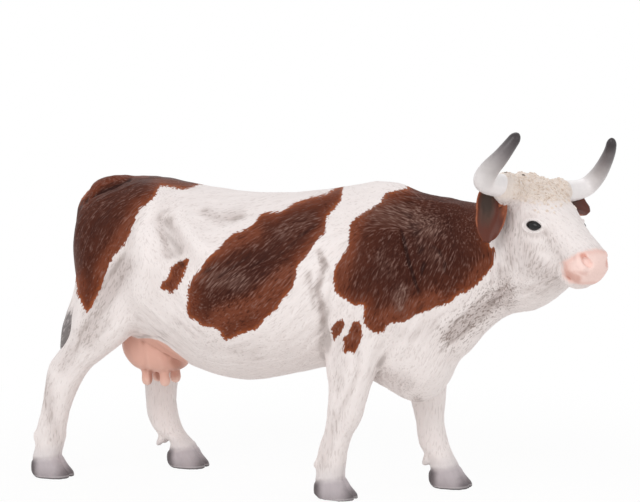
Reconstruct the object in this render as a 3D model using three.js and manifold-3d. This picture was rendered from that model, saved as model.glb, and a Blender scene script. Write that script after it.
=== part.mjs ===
// Cow figurine in a walking step, its head turned to its right.
// Millimetres: +X runs forward, +Y to the cow's left, +Z up, and the soles stand on z = 0.
import * as THREE from 'three';
import { mergeVertices } from 'three/addons/utils/BufferGeometryUtils.js';
import Module from 'manifold-3d';

// Fits
const seatGap = 0.3;
const legPegRadius = 1.8;
const legPegLength = 5;
const headPegRadius = 4;
const headPegLength = 6;
const pegRoot = 1.5;

// Trunk: places along the body
const rumpEndX = -42.6;
const pinX = -40.6;
const rumpX = -35.5;
const hipX = -26.5;
const loinX = -14;
const barrelX = -2;
const ribX = 9;
const girthX = 19;
const withersX = 28.5;
const chestX = 36;
const brisketX = 42;
const chestEndX = 46;

// Trunk: heights of the back line
const tailHeadHeight = 60.5;
const pinHeight = 64.7;
const rumpHeight = 66.6;
const hipHeight = 67;
const loinHeight = 65.5;
const backHeight = 64.5;
const ribHeight = 65;
const girthHeight = 66.5;
const withersHeight = 68.1;
const chestHeight = 66.3;
const neckBaseHeight = 60.5;
const chestEndHeight = 52.5;

// Trunk: heights of the underline
const buttockHeight = 42.5;
const pinUnderHeight = 37.5;
const thighUnderHeight = 33;
const groinHeight = 29.7;
const flankHeight = 25.1;
const bellyHeight = 22.8;
const ribUnderHeight = 24.4;
const girthUnderHeight = 26.9;
const chestUnderHeight = 23.9;
const brisketHeight = 20.4;
const brisketFrontHeight = 23.1;
const chestEndUnderHeight = 31;

// Trunk: half widths
const rumpEndHalf = 6.8;
const pinHalf = 10.2;
const rumpHalf = 12.9;
const hipHalf = 15;
const loinHalf = 17.2;
const barrelHalf = 19.2;
const ribHalf = 18.6;
const girthHalf = 16.4;
const withersHalf = 14.8;
const chestHalf = 12.6;
const brisketHalf = 9.2;
const chestEndHalf = 4.8;

// Muscles, bones and hollows of each side: a stroke from one place to another, its half width and its rise
const sideForms = {
  hipHollow: { fromX: -17.6, fromHeight: 60.5, toX: -13, toHeight: 51.5, half: 3.2, rise: -1 },
  hipBone: { fromX: -24.6, fromHeight: 64.5, toX: -22.4, toHeight: 62.9, half: 3, rise: 0.7 },
  hipRidge: { fromX: -15, fromHeight: 59.5, toX: -6.4, toHeight: 52.2, half: 2.2, rise: 0.5 },
  thighFront: { fromX: -21, fromHeight: 58.5, toX: -22.6, toHeight: 43, half: 3, rise: 0.7 },
  thighHollow: { fromX: -26.1, fromHeight: 52.9, toX: -31.8, toHeight: 40.1, half: 2.6, rise: -0.6 },
  underFlank: { fromX: -20.4, fromHeight: 40.5, toX: -8.9, toHeight: 34.1, half: 2.6, rise: 0.4 },
  ribHollow: { fromX: -4.4, fromHeight: 49, toX: 14.7, toHeight: 55.6, half: 3, rise: -0.75 },
  ribSwell: { fromX: -0.7, fromHeight: 44.8, toX: 12.4, toHeight: 50.1, half: 4, rise: 0.35 },
  shoulderBlade: { fromX: 30.4, fromHeight: 63.5, toX: 28.3, toHeight: 51, half: 2.8, rise: 0.5 },
  bladeHollow: { fromX: 37.3, fromHeight: 60.4, toX: 41.5, toHeight: 52.4, half: 2.8, rise: -0.5 },
  elbowCrease: { fromX: 20.8, fromHeight: 42.6, toX: 19.7, toHeight: 32.6, half: 2, rise: -0.9 },
  chestCrease: { fromX: 31.5, fromHeight: 29.4, toX: 34.6, toHeight: 34.6, half: 1.8, rise: -0.6 },
};

// The valley on each side of the tail head
const rumpValleySpread = 4.6;
const rumpValleyHalf = 2;
const rumpValleyDepth = 0.8;
const rumpValleyRun = 13;

// How far a skin point must face aside to carry the side forms in full, and upwards to carry the valleys
const asideInFull = 0.45;
const upwardsFrom = 0.3;
const upwardsInFull = 0.8;

// Neck: places, heights and half widths from the shoulder to the back of the head
const neckRootX = 33;
const neckMidX = 44;
const neckFrontX = 51.5;
const neckThroatX = 58;
const neckRootHeight = 66.5;
const crestHeight = 65.1;
const crestFrontHeight = 64.3;
const crestEndHeight = 66.1;
const neckRootUnder = 26.5;
const dewlapUnder = 28.1;
const dewlapFrontUnder = 36;
const throatUnder = 41;
const neckRootHalf = 11.8;
const neckMidHalf = 10.2;
const neckFrontHalf = 8.9;
const neckThroatHalf = 7.9;

// Head: the poll, the turn, the nod and the tilt
const pollX = 63.3;
const pollY = -4;
const pollHeight = 71.6;
const headTurn = 24;
const headNod = 37;
const headTilt = 6;
const headLength = 26.9;
const foreheadHalf = 7.2;
const cheekHalf = 8.2;
const pollHalf = 6.3;
const pollBossHalf = 9.4;
const pollBossRise = -0.2;
const pollBossReach = 4.2;
const pollBossHeight = 3.8;
const pollBossAlong = 2.4;
const curlRadius = 1.6;
const curlRise = 0.5;
const curlsAcross = 5;
const curlRows = 3;
const curlFan = 110;
const curlFanFront = 60;
const bridgeHalf = 4.7;
const muzzleHalf = 4.9;
const jawHalf = 4.6;
const cheekDepth = 15.4;
const muzzleDepth = 8.7;
const chinDepth = 10.4;
const eyeAlong = 11.7;
const eyeBelow = 3.9;
const nostrilAlong = 24.6;
const nostrilBelow = 2.6;
const nostrilSpread = 3.2;

// Horns and ears
const hornRootRadius = 2.2;
const hornMidRadius = 1.85;
const hornTipRadius = 1;
const hornSpread = 18;
const hornTipRise = 8.1;
const hornTipReach = 8.7;
const hornTipSpread = 15.9;
const hornRootSpread = 8.8;
const hornRootReach = 0.9;
const hornRootDrop = 4.1;
const earLength = 9.2;
const earHalf = 3;
const earWall = 1;
const earCup = 1.7;
const earRootSpread = 10.2;
const earRightDroop = 82;
const earRightSweep = 0;
const earLeftDroop = 16;
const earLeftSweep = 7;
const earDrop = 4.9;
const earRightSetBack = 1.5;
const earLeftSetBack = 0.4;
const earRootInset = 1.4;
const earRootDrop = 5.2;
const earRootReach = 0.2;

// Legs: shared sections
const hoofLength = 9.6;
const hoofWidth = 8.2;
const hoofHeight = 5;
const hoofCleft = 0.8;
const fetlockHeight = 8;
const fetlockDepth = 6.6;
const fetlockWidth = 6.4;
const foreCannonHeight = 14;
const foreCannonDepth = 5.8;
const foreCannonWidth = 5.2;
const kneeHeight = 19;
const kneeDepth = 7.4;
const kneeWidth = 6.4;
const forearmHeight = 25.5;
const forearmDepth = 9.4;
const forearmWidth = 7.2;
const elbowHeight = 31.5;
const elbowDepth = 13.4;
const elbowWidth = 8.4;
const shoulderHeight = 46;
const shoulderTopHeight = 54;
const shoulderDepth = 19;
const shoulderWidth = 9.6;
const hindCannonHeight = 15;
const hindCannonDepth = 6.4;
const hindCannonWidth = 5.4;
const hockHeight = 25.5;
const hockDepth = 11;
const hockWidth = 6.6;
const gaskinHeight = 31.5;
const gaskinDepth = 15;
const gaskinWidth = 8.6;
const stifleHeight = 40;
const stifleDepth = 19;
const stifleWidth = 11.6;
const thighHeight = 52;
const thighTopHeight = 60;
const thighDepth = 19;
const thighWidth = 10.5;
const dewclawRadius = 1.1;
const dewclawSpread = 1.6;

// Legs: how far each stands from the middle, and where each joint stands along the body
const hoofSpread = 11;
const forearmSpread = 10.4;
const shoulderSpread = 8.8;
const thighSpread = 8.6;
const foreRightStep = {
  hoof: 21.9,
  fetlock: 20.6,
  cannon: 22,
  knee: 23.4,
  forearm: 24.5,
  elbow: 25.4,
  shoulder: 28,
  dewclawHeight: 7.4,
};
const foreLeftStep = {
  hoof: 40.4,
  fetlock: 37.7,
  cannon: 36.3,
  knee: 35.4,
  forearm: 34.7,
  elbow: 33.8,
  shoulder: 31,
  dewclawHeight: 5.8,
};
const hindRightStep = {
  hoof: -46.4,
  fetlock: -47.2,
  cannon: -46.1,
  hock: -42.2,
  gaskin: -36.4,
  stifle: -31.5,
  thigh: -31,
  dewclawHeight: 9,
};
const hindLeftStep = {
  hoof: -23,
  fetlock: -27.3,
  cannon: -29,
  hock: -30.7,
  gaskin: -30.6,
  stifle: -30.4,
  thigh: -31,
  dewclawHeight: 5.8,
};

// Leg joints: each joint face slants down from the outside of the leg to the inside
const foreJointOuter = 27.5;
const foreJointInner = 21.5;
const hindJointOuter = 31;
const hindJointInner = 26.5;

// Udder, teats and tail
const udderX = -26;
const teatMiddleX = -24.6;
const udderLength = 15;
const udderWidth = 13;
const udderHeight = 23.9;
const udderRoot = 4;
const teatRadius = 1.15;
const teatReach = 3.3;
const teatRoot = 2;
const teatSpacingAlong = 4.4;
const teatSpacingAcross = 5.6;
const tailRadius = 1.5;
const tailSwitchRadius = 1.9;
const tailEndHeight = 26;
const tailSide = -2.6;
const tailRootReach = 5;
const tailRootRise = 1.6;
const tailCrestReach = 2;
const tailCrestRise = 2.2;
const tailBendRise = -0.6;
const tailStandOff = 0.9;
const tailBendStandOff = 0.3;
const tailHockStandOff = 2.5;
const tailEndStandOff = 5;

// Skin divisions
const trunkSides = 36;
const neckSides = 20;
const headSides = 18;
const legSides = 14;
const hornSides = 10;
const udderSides = 16;
const tailSides = 8;
const bulgeSides = 12;
const curlSides = 6;

const wasm = await Module();
wasm.setup();

const sideways = new THREE.Vector3(0, 1, 0);
const forward = new THREE.Vector3(1, 0, 0);
const upward = new THREE.Vector3(0, 0, 1);
const vec = (x, y, z) => new THREE.Vector3(x, y, z);
const mix = THREE.MathUtils.lerp;
const radians = THREE.MathUtils.degToRad;

// A closed geometry as a solid that can be joined and cut.
function solid(geometry) {
  const bare = geometry.index ? geometry.toNonIndexed() : geometry.clone();
  bare.deleteAttribute('normal');
  bare.deleteAttribute('uv');
  const merged = mergeVertices(bare, 1e-4);
  const vertProperties = merged.attributes.position.array;
  const triVerts = new Uint32Array(merged.index.array);
  return new wasm.Manifold(new wasm.Mesh({ numProp: 3, vertProperties, triVerts }));
}

// The joined or cut solid as a geometry. A cut can leave a sliver, so the main body is kept.
function geometryOf(body) {
  const main = body.decompose().reduce((a, b) => (a.volume() > b.volume() ? a : b));
  const { numProp, numVert, vertProperties, triVerts } = main.getMesh();
  const positions = new Float32Array(numVert * 3);
  for (let i = 0; i < numVert; i += 1) {
    positions.set(vertProperties.subarray(i * numProp, i * numProp + 3), i * 3);
  }
  const geometry = new THREE.BufferGeometry();
  geometry.setAttribute('position', new THREE.BufferAttribute(positions, 3));
  geometry.setIndex(new THREE.BufferAttribute(new Uint32Array(triVerts), 1));
  geometry.computeVertexNormals();
  return geometry;
}

// Rows of named numbers, eased through every row.
function eased(rows, steps) {
  const out = [];
  rows.slice(0, -1).forEach((row, i) => {
    const before = rows[Math.max(i - 1, 0)];
    const next = rows[i + 1];
    const after = rows[Math.min(i + 2, rows.length - 1)];
    for (let s = 0; s < steps; s += 1) {
      const t = s / steps;
      const blend = (key) => {
        const start = (next[key] - before[key]) / 2;
        const end = (after[key] - row[key]) / 2;
        const rise = next[key] - row[key];
        return row[key] + t * (start + t * (3 * rise - 2 * start - end + t * (start + end - 2 * rise)));
      };
      out.push(Object.fromEntries(Object.keys(row).map((key) => [key, blend(key)])));
    }
  });
  out.push(rows[rows.length - 1]);
  return out;
}

// A section ring in the plane of side and up. Squareness 2 is an ellipse, more is boxier, less is keeled.
function ring({ centre, side, up, half, above, below, crown = 2, keel = 2 }, count) {
  return Array.from({ length: count }, (_, i) => {
    const angle = (2 * Math.PI * i) / count;
    const c = Math.cos(angle);
    const s = Math.sin(angle);
    const power = 2 / (s > 0 ? crown : keel);
    const reach = half * Math.sign(c) * Math.abs(c) ** power;
    const rise = (s > 0 ? above : below) * Math.sign(s) * Math.abs(s) ** power;
    return centre.clone().addScaledVector(side, reach).addScaledVector(up, rise);
  });
}

// A closed skin through rings of equal counts, with a fan over each end.
function loft(rings) {
  const count = rings[0].length;
  const middle = (points) => points.reduce((sum, p) => sum.add(p), vec(0, 0, 0)).divideScalar(count);
  const points = rings.flat();
  const first = points.push(middle(rings[0])) - 1;
  const last = points.push(middle(rings[rings.length - 1])) - 1;
  const faces = [];
  for (let i = 0; i < count; i += 1) {
    const j = (i + 1) % count;
    faces.push(first, j, i);
    const top = (rings.length - 1) * count;
    faces.push(last, top + i, top + j);
    for (let r = 0; r < rings.length - 1; r += 1) {
      const a = r * count + i;
      const b = r * count + j;
      faces.push(a, b, b + count, a, b + count, a + count);
    }
  }
  const geometry = new THREE.BufferGeometry().setFromPoints(points);
  geometry.setIndex(faces);
  return geometry;
}

// An ellipsoid bulge or hollow.
function bulge(centre, radii, sides = bulgeSides) {
  const geometry = new THREE.SphereGeometry(1, sides, Math.ceil(sides / 2) + 1);
  geometry.scale(radii.x, radii.y, radii.z);
  geometry.translate(centre.x, centre.y, centre.z);
  return solid(geometry);
}

// The half space on the far side of a plane, moved along its normal by shift.
function beyond(point, normal, shift = 0) {
  const reach = 300;
  const geometry = new THREE.BoxGeometry(reach, reach, reach);
  geometry.translate(0, 0, reach / 2 + shift);
  geometry.applyQuaternion(new THREE.Quaternion().setFromUnitVectors(upward, normal));
  geometry.translate(point.x, point.y, point.z);
  return solid(geometry);
}

// A round peg from below a joint face to its tip, or with grow its socket.
function peg(point, normal, radius, length, grow = 0) {
  const geometry = new THREE.CylinderGeometry(radius + grow, radius + grow, length + pegRoot + grow, 16);
  geometry.rotateX(Math.PI / 2);
  geometry.translate(0, 0, (length + grow - pegRoot) / 2);
  geometry.applyQuaternion(new THREE.Quaternion().setFromUnitVectors(upward, normal));
  geometry.translate(point.x, point.y, point.z);
  return solid(geometry);
}

// How far a place lies from a stroke, seen from the side.
function strokeDistance({ fromX, fromHeight, toX, toHeight }, x, z) {
  const runX = toX - fromX;
  const runZ = toHeight - fromHeight;
  const share = ((x - fromX) * runX + (z - fromHeight) * runZ) / (runX * runX + runZ * runZ);
  const near = THREE.MathUtils.clamp(share, 0, 1);
  return Math.hypot(x - fromX - near * runX, z - fromHeight - near * runZ);
}

// A skin point raised or sunk by the body forms it lies in, away from the middle of its section.
function modelled(point, centre) {
  const away = point.clone().sub(centre).normalize();
  const bell = (distance, half) => Math.exp(-((distance / half) ** 2));
  const aside = THREE.MathUtils.smoothstep(Math.abs(away.y), 0, asideInFull);
  const upwards = THREE.MathUtils.smoothstep(away.z, upwardsFrom, upwardsInFull);
  let rise = 0;
  for (const form of Object.values(sideForms)) {
    rise += aside * form.rise * bell(strokeDistance(form, point.x, point.z), form.half);
  }
  const pastRump = THREE.MathUtils.clamp((rumpEndX + rumpValleyRun - point.x) / rumpValleyRun, 0, 1);
  const valley = bell(Math.abs(point.y) - rumpValleySpread, rumpValleyHalf);
  rise -= upwards * rumpValleyDepth * Math.sqrt(pastRump) * valley;
  return point.clone().addScaledVector(away, rise);
}

// A lengthwise body of upright sections. Rows hold x, y, turn, top, under, half, waist, crown and keel.
function uprightBody(rows, sides, grow = 0, shape = (point) => point) {
  const lastRow = rows.length - 1;
  return solid(loft(rows.map((row, i) => {
    const ahead = vec(Math.cos(radians(row.turn)), -Math.sin(radians(row.turn)), 0);
    const side = vec(-ahead.y, ahead.x, 0);
    const middle = mix(row.under, row.top, row.waist);
    const overrun = (i === lastRow ? grow : 0) - (i === 0 ? grow : 0);
    const centre = vec(row.x, row.y, middle).addScaledVector(ahead, overrun);
    const points = ring({
      centre,
      side,
      up: upward,
      half: row.half + grow,
      above: row.top - middle + grow,
      below: middle - row.under + grow,
      crown: row.crown,
      keel: row.keel,
    }, sides);
    return points.map((point) => shape(point, centre));
  })));
}

// A row of an upright section that stands square on the middle line.
function midRow(x, top, under, half, waist, crown, keel) {
  return { x, y: 0, turn: 0, top, under, half, waist, crown, keel };
}

// Trunk from the rump to the front of the chest.
function trunkBody(grow = 0) {
  const rows = [
    midRow(rumpEndX, tailHeadHeight, buttockHeight, rumpEndHalf, 0.5, 2, 2.2),
    midRow(pinX, pinHeight, pinUnderHeight, pinHalf, 0.52, 1.8, 2.2),
    midRow(rumpX, rumpHeight, thighUnderHeight, rumpHalf, 0.55, 1.8, 2.2),
    midRow(hipX, hipHeight, groinHeight, hipHalf, 0.6, 1.9, 2.1),
    midRow(loinX, loinHeight, flankHeight, loinHalf, 0.5, 1.9, 2),
    midRow(barrelX, backHeight, bellyHeight, barrelHalf, 0.44, 1.9, 2.1),
    midRow(ribX, ribHeight, ribUnderHeight, ribHalf, 0.44, 1.9, 2.1),
    midRow(girthX, girthHeight, girthUnderHeight, girthHalf, 0.45, 1.8, 2),
    midRow(withersX, withersHeight, chestUnderHeight, withersHalf, 0.46, 1.7, 1.9),
    midRow(chestX, chestHeight, brisketHeight, chestHalf, 0.5, 1.8, 1.7),
    midRow(brisketX, neckBaseHeight, brisketFrontHeight, brisketHalf, 0.52, 2, 1.7),
    midRow(chestEndX, chestEndHeight, chestEndUnderHeight, chestEndHalf, 0.5, 2, 1.8),
  ];
  return uprightBody(eased(rows, 3), trunkSides, grow, modelled);
}

// Neck from inside the shoulder to inside the back of the head.
function neckBody() {
  const row = (x, y, turn, top, under, half, crown, keel) => {
    return { x, y, turn, top, under, half, waist: 0.55, crown, keel };
  };
  const rows = [
    row(neckRootX, 0, 0, neckRootHeight, neckRootUnder, neckRootHalf, 1.7, 1.8),
    row(neckMidX, 0, 3, crestHeight, dewlapUnder, neckMidHalf, 1.8, 1.7),
    row(neckFrontX, pollY * 0.25, 10, crestFrontHeight, dewlapFrontUnder, neckFrontHalf, 1.9, 1.7),
    row(neckThroatX, pollY * 0.62, 18, crestEndHeight, throatUnder, neckThroatHalf, 2, 1.8),
    row(pollX + 0.8, pollY * 1.15, headTurn, pollHeight - 3.4, throatUnder + 1.5, cheekHalf, 2, 1.9),
    row(pollX + 4.6, pollY * 1.56, headTurn, pollHeight - 9, throatUnder + 3.8, cheekHalf - 0.4, 2.1, 2),
    row(pollX + 9, pollY * 2.1, headTurn, pollHeight - 13.5, throatUnder + 7.7, jawHalf + 1.6, 2.1, 2),
    row(pollX + 11.2, pollY * 2.35, headTurn, pollHeight - 16.5, throatUnder + 10.1, jawHalf * 0.7, 2, 2),
  ];
  return uprightBody(eased(rows, 2), neckSides, 0, modelled);
}

// The head's own frame: X from the poll to the nose, Y to its left, Z out of the forehead.
function headFrame() {
  const frame = new THREE.Group();
  frame.rotation.set(radians(-headTilt), radians(headNod), radians(-headTurn), 'ZYX');
  frame.position.set(pollX, pollY, pollHeight);
  frame.updateMatrix();
  return frame;
}

// Curls over the poll boss, in staggered rows from side to side.
function pollCurls(boss) {
  const curls = [];
  for (let row = 0; row < curlRows; row += 1) {
    for (let i = 0; i < curlsAcross; i += 1) {
      const aside = radians(((i + 0.5 * (row % 2)) / (curlsAcross - 0.5) - 0.5) * curlFan);
      const forwards = radians(curlFanFront - (row / (curlRows - 1)) * curlFan);
      const centre = vec(
        boss.x + pollBossReach * Math.cos(aside) * Math.sin(forwards),
        pollBossHalf * Math.sin(aside),
        boss.z + pollBossHeight * Math.cos(aside) * Math.cos(forwards),
      );
      curls.push(bulge(centre, vec(curlRadius, curlRadius, curlRise), curlSides));
    }
  }
  return curls;
}

// Skull, muzzle, lower jaw, brows and eyes, with the nostrils sunk in.
function headBody() {
  const skullRows = [
    midRow(-3.4, -5, -12, pollHalf * 0.62, 0.5, 2, 2),
    midRow(-0.6, -0.8, -cheekDepth + 0.8, pollHalf, 0.6, 2.2, 2),
    midRow(headLength * 0.15, 0.6, -cheekDepth, mix(pollHalf, foreheadHalf, 0.6), 0.62, 2.3, 2),
    midRow(headLength * 0.31, 1.1, -cheekDepth, foreheadHalf, 0.62, 2.2, 2.2),
    midRow(headLength * 0.45, 1, -cheekDepth + 0.6, foreheadHalf, 0.58, 2.1, 2.3),
    midRow(headLength * 0.58, 0.4, -cheekDepth + 2.2, mix(bridgeHalf, foreheadHalf, 0.5), 0.54, 2.1, 2.3),
    midRow(headLength * 0.7, 0.1, -muzzleDepth - 2.4, mix(bridgeHalf, foreheadHalf, 0.15), 0.52, 2.1, 2.3),
    midRow(headLength * 0.81, 0, -muzzleDepth - 1, bridgeHalf, 0.52, 2.2, 2.3),
    midRow(headLength * 0.905, -0.7, -muzzleDepth, muzzleHalf, 0.5, 2.3, 2.4),
    midRow(headLength * 0.967, -1.9, -muzzleDepth + 0.4, muzzleHalf * 0.88, 0.48, 2.3, 2.4),
    midRow(headLength, -3.3, -muzzleDepth + 1.5, muzzleHalf * 0.56, 0.48, 2.2, 2.2),
  ];
  const jawMiddleDepth = mix(cheekDepth, chinDepth, 0.4);
  const jawRows = [
    midRow(headLength * 0.18, -cheekDepth + 6, -cheekDepth - 1.2, jawHalf, 0.5, 2, 2),
    midRow(headLength * 0.36, -cheekDepth + 8, -cheekDepth - 0.2, jawHalf * 1.25, 0.5, 2.2, 2.2),
    midRow(headLength * 0.54, -muzzleDepth + 4.6, -jawMiddleDepth, jawHalf * 1.16, 0.45, 2.3, 2.1),
    midRow(headLength * 0.72, -muzzleDepth + 4.4, -chinDepth - 0.9, jawHalf, 0.42, 2.4, 2.2),
    midRow(headLength * 0.86, -muzzleDepth + 3.6, -chinDepth, jawHalf * 0.92, 0.4, 2.5, 2.3),
    midRow(headLength * 0.93, -muzzleDepth + 3, -chinDepth + 0.4, jawHalf * 0.8, 0.4, 2.5, 2.3),
    midRow(headLength * 0.965, -muzzleDepth + 2.4, -chinDepth + 1.2, jawHalf * 0.52, 0.4, 2.2, 2.2),
  ];
  let body = uprightBody(eased(skullRows, 2), headSides).add(uprightBody(eased(jawRows, 2), legSides));
  const boss = vec(pollBossAlong, 0, pollBossRise - pollBossHeight);
  body = body.add(bulge(boss, vec(pollBossReach, pollBossHalf, pollBossHeight)));
  for (const curl of pollCurls(boss)) body = body.add(curl);
  for (const side of [-1, 1]) {
    const at = (along, spread, below) => vec(along, side * spread, -below);
    const brow = bulge(at(eyeAlong - 0.5, foreheadHalf - 1.9, eyeBelow - 1.5), vec(3.6, 1.5, 1.2));
    const eye = bulge(at(eyeAlong, foreheadHalf - 1.3, eyeBelow), vec(1.9, 1.5, 1.4));
    const wing = bulge(at(nostrilAlong - 0.9, nostrilSpread - 0.1, nostrilBelow), vec(2, 1.4, 1.6));
    const hollowAt = at(nostrilAlong + 0.9, nostrilSpread + 0.4, nostrilBelow - 0.2);
    const hollow = bulge(hollowAt, vec(1.2, 1, 0.75));
    body = body.add(brow).add(eye).add(wing).subtract(hollow);
  }
  return body;
}

// A tapered round body along a curve, with its radius as a function of the share of the way.
function taperedBody(curve, radiusAt, steps, sides, grow = 0) {
  const frames = curve.computeFrenetFrames(steps, false);
  const rings = frames.tangents.map((tangent, i) => {
    const share = i / steps;
    const overrun = (i === steps ? grow : 0) - (i === 0 ? grow : 0);
    const radius = radiusAt(share) + grow;
    return ring({
      centre: curve.getPointAt(share).addScaledVector(tangent, overrun),
      side: frames.normals[i],
      up: frames.binormals[i],
      half: radius,
      above: radius,
      below: radius,
    }, sides);
  });
  return solid(loft(rings));
}

// A radius that eases through the root, middle and tip values and rounds off at the end.
function hornRadius(share) {
  const roundFrom = 0.92;
  const lower = mix(hornRootRadius, hornMidRadius, share * 2);
  const upper = mix(hornMidRadius, hornTipRadius, share * 2 - 1);
  const taper = share < 0.5 ? lower : upper;
  const past = Math.max(0, (share - roundFrom) / (1 - roundFrom));
  return taper * Math.sqrt(1.04 - past * past);
}

// A place in the head's frame from level measures: ahead of the poll, aside and above it.
function levelled(ahead, aside, above) {
  return vec(ahead, aside, above).applyAxisAngle(sideways, -radians(headNod));
}

// Horn: straight out of the side of the poll boss, then bending forward and up to a tip that turns in.
function hornBody(side, grow = 0) {
  const along = (share) => mix(hornRootReach, hornTipReach, share);
  const above = (share) => mix(-hornRootDrop, hornTipRise, share);
  const curve = new THREE.CatmullRomCurve3([
    levelled(along(0), side * (hornRootSpread - 3.4), above(-0.02)),
    levelled(along(0), side * hornRootSpread, above(0)),
    levelled(along(0), side * mix(hornRootSpread, hornSpread, 0.58), above(0.03)),
    levelled(along(0.09), side * (hornSpread - 0.6), above(0.11)),
    levelled(along(0.34), side * (hornSpread + 0.3), above(0.31)),
    levelled(along(0.62), side * mix(hornSpread, hornTipSpread, 0.12), above(0.54)),
    levelled(along(0.85), side * mix(hornSpread, hornTipSpread, 0.48), above(0.78)),
    levelled(along(1), side * hornTipSpread, above(1)),
  ]);
  return taperedBody(curve, hornRadius, 18, hornSides, grow);
}

// Ear: a cupped leaf on a short neck under the horn. It droops, and its hollow faces forward and out.
function earBody(side, grow = 0) {
  const droop = radians(side < 0 ? earRightDroop : earLeftDroop);
  const sweep = radians(side < 0 ? earRightSweep : earLeftSweep);
  const flat = Math.cos(droop);
  const axis = levelled(Math.sin(sweep) * flat, side * Math.cos(sweep) * flat, -Math.sin(droop));
  const face = levelled(0.7, side * 0.7, 0.1);
  const setBack = side < 0 ? earRightSetBack : earLeftSetBack;
  const base = levelled(-setBack, side * earRootSpread, -earDrop);
  const out = (share) => base.clone().addScaledVector(axis, share * earLength);
  const root = levelled(earRootReach, side * (foreheadHalf - earRootInset), -earRootDrop);
  const spine = new THREE.CatmullRomCurve3([root, base, out(0.35), out(0.68), out(1)]);
  const row = (share, half, cup) => ({ share, half, cup });
  const rows = eased([
    row(0, earHalf * 0.5, 0.1),
    row(0.22, earHalf * 0.8, earCup * 0.5),
    row(0.48, earHalf, earCup),
    row(0.72, earHalf * 0.92, earCup * 0.8),
    row(0.9, earHalf * 0.6, earCup * 0.4),
    row(1, earHalf * 0.24, 0),
  ], 2);
  const spans = 6;
  return solid(loft(rows.map((r, i) => {
    const overrun = (i === rows.length - 1 ? grow : 0) - (i === 0 ? grow : 0);
    const tangent = spine.getTangentAt(Math.min(r.share, 1));
    const outward = face.clone().addScaledVector(tangent, -face.dot(tangent)).normalize();
    const across = new THREE.Vector3().crossVectors(outward, tangent);
    const centre = spine.getPointAt(Math.min(r.share, 1)).addScaledVector(tangent, overrun);
    const lip = (t, front) => {
      const wall = (earWall / 2) * (1 - 0.45 * t * t) + grow;
      const depth = -r.cup * (1 - t * t) + (front ? wall : -wall);
      const wide = centre.clone().addScaledVector(across, t * (r.half + grow));
      return wide.addScaledVector(outward, depth + r.cup / 2);
    };
    const shares = Array.from({ length: spans + 1 }, (_, k) => 1 - (2 * k) / spans);
    return [...shares.map((t) => lip(t, true)), ...shares.map((t) => lip(-t, false))];
  })));
}

// Heights, depths and widths up a leg, from the sole to inside the trunk.
function legRows(step, side, fore) {
  const toe = step.hoof + hoofLength / 2;
  const heel = step.hoof - hoofLength / 2;
  const row = (z, x, depth, width, spread, square = 2.2) => {
    return { z, x, depth, width, y: side * spread, square };
  };
  const hoofRow = (z, rear, front, width) => {
    const middle = (heel + rear + toe - front) / 2;
    return row(z, middle, toe - front - heel - rear, width, hoofSpread, 2.5);
  };
  const hoof = [
    hoofRow(0, 0.9, 0.1, hoofWidth),
    hoofRow(1, 0.1, 0.3, hoofWidth + 0.1),
    hoofRow(hoofHeight * 0.55, 0, 1.9, hoofWidth - 0.5),
    hoofRow(hoofHeight, 0.5, 3.1, hoofWidth - 1.3),
  ];
  const pasternHeight = mix(hoofHeight, fetlockHeight, 0.45);
  const pasternX = mix(step.hoof - 1, step.fetlock, 0.6);
  const pastern = row(pasternHeight, pasternX, fetlockDepth - 0.3, fetlockWidth - 0.2, hoofSpread);
  const fetlock = row(fetlockHeight, step.fetlock, fetlockDepth, fetlockWidth, hoofSpread);
  if (fore) {
    return [...hoof, pastern, fetlock,
      row(foreCannonHeight, step.cannon, foreCannonDepth, foreCannonWidth, hoofSpread),
      row(kneeHeight, step.knee, kneeDepth, kneeWidth, hoofSpread),
      row(forearmHeight, step.forearm, forearmDepth, forearmWidth, forearmSpread),
      row(elbowHeight, step.elbow, elbowDepth, elbowWidth, forearmSpread - 0.6),
      row(shoulderHeight, step.shoulder, shoulderDepth, shoulderWidth, shoulderSpread),
      row(shoulderTopHeight, step.shoulder, shoulderDepth * 0.6, shoulderWidth * 0.5, shoulderSpread - 1),
    ];
  }
  const underHock = {
    x: mix(step.cannon, step.hock, 0.42),
    depth: mix(hindCannonDepth, hockDepth, 0.34),
    width: hockWidth - 0.4,
  };
  return [...hoof, pastern, fetlock,
    row(hindCannonHeight, step.cannon, hindCannonDepth, hindCannonWidth, hoofSpread),
    row(hockHeight - 5, underHock.x, underHock.depth, underHock.width, hoofSpread),
    row(hockHeight, step.hock, hockDepth, hockWidth, hoofSpread - 0.4),
    row(gaskinHeight, step.gaskin, gaskinDepth, gaskinWidth, thighSpread + 1.4),
    row(stifleHeight, step.stifle, stifleDepth, stifleWidth, thighSpread),
    row(thighHeight, step.thigh, thighDepth, thighWidth, thighSpread),
    row(thighTopHeight, step.thigh, thighDepth * 0.5, thighWidth * 0.5, thighSpread - 0.5),
  ];
}

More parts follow.
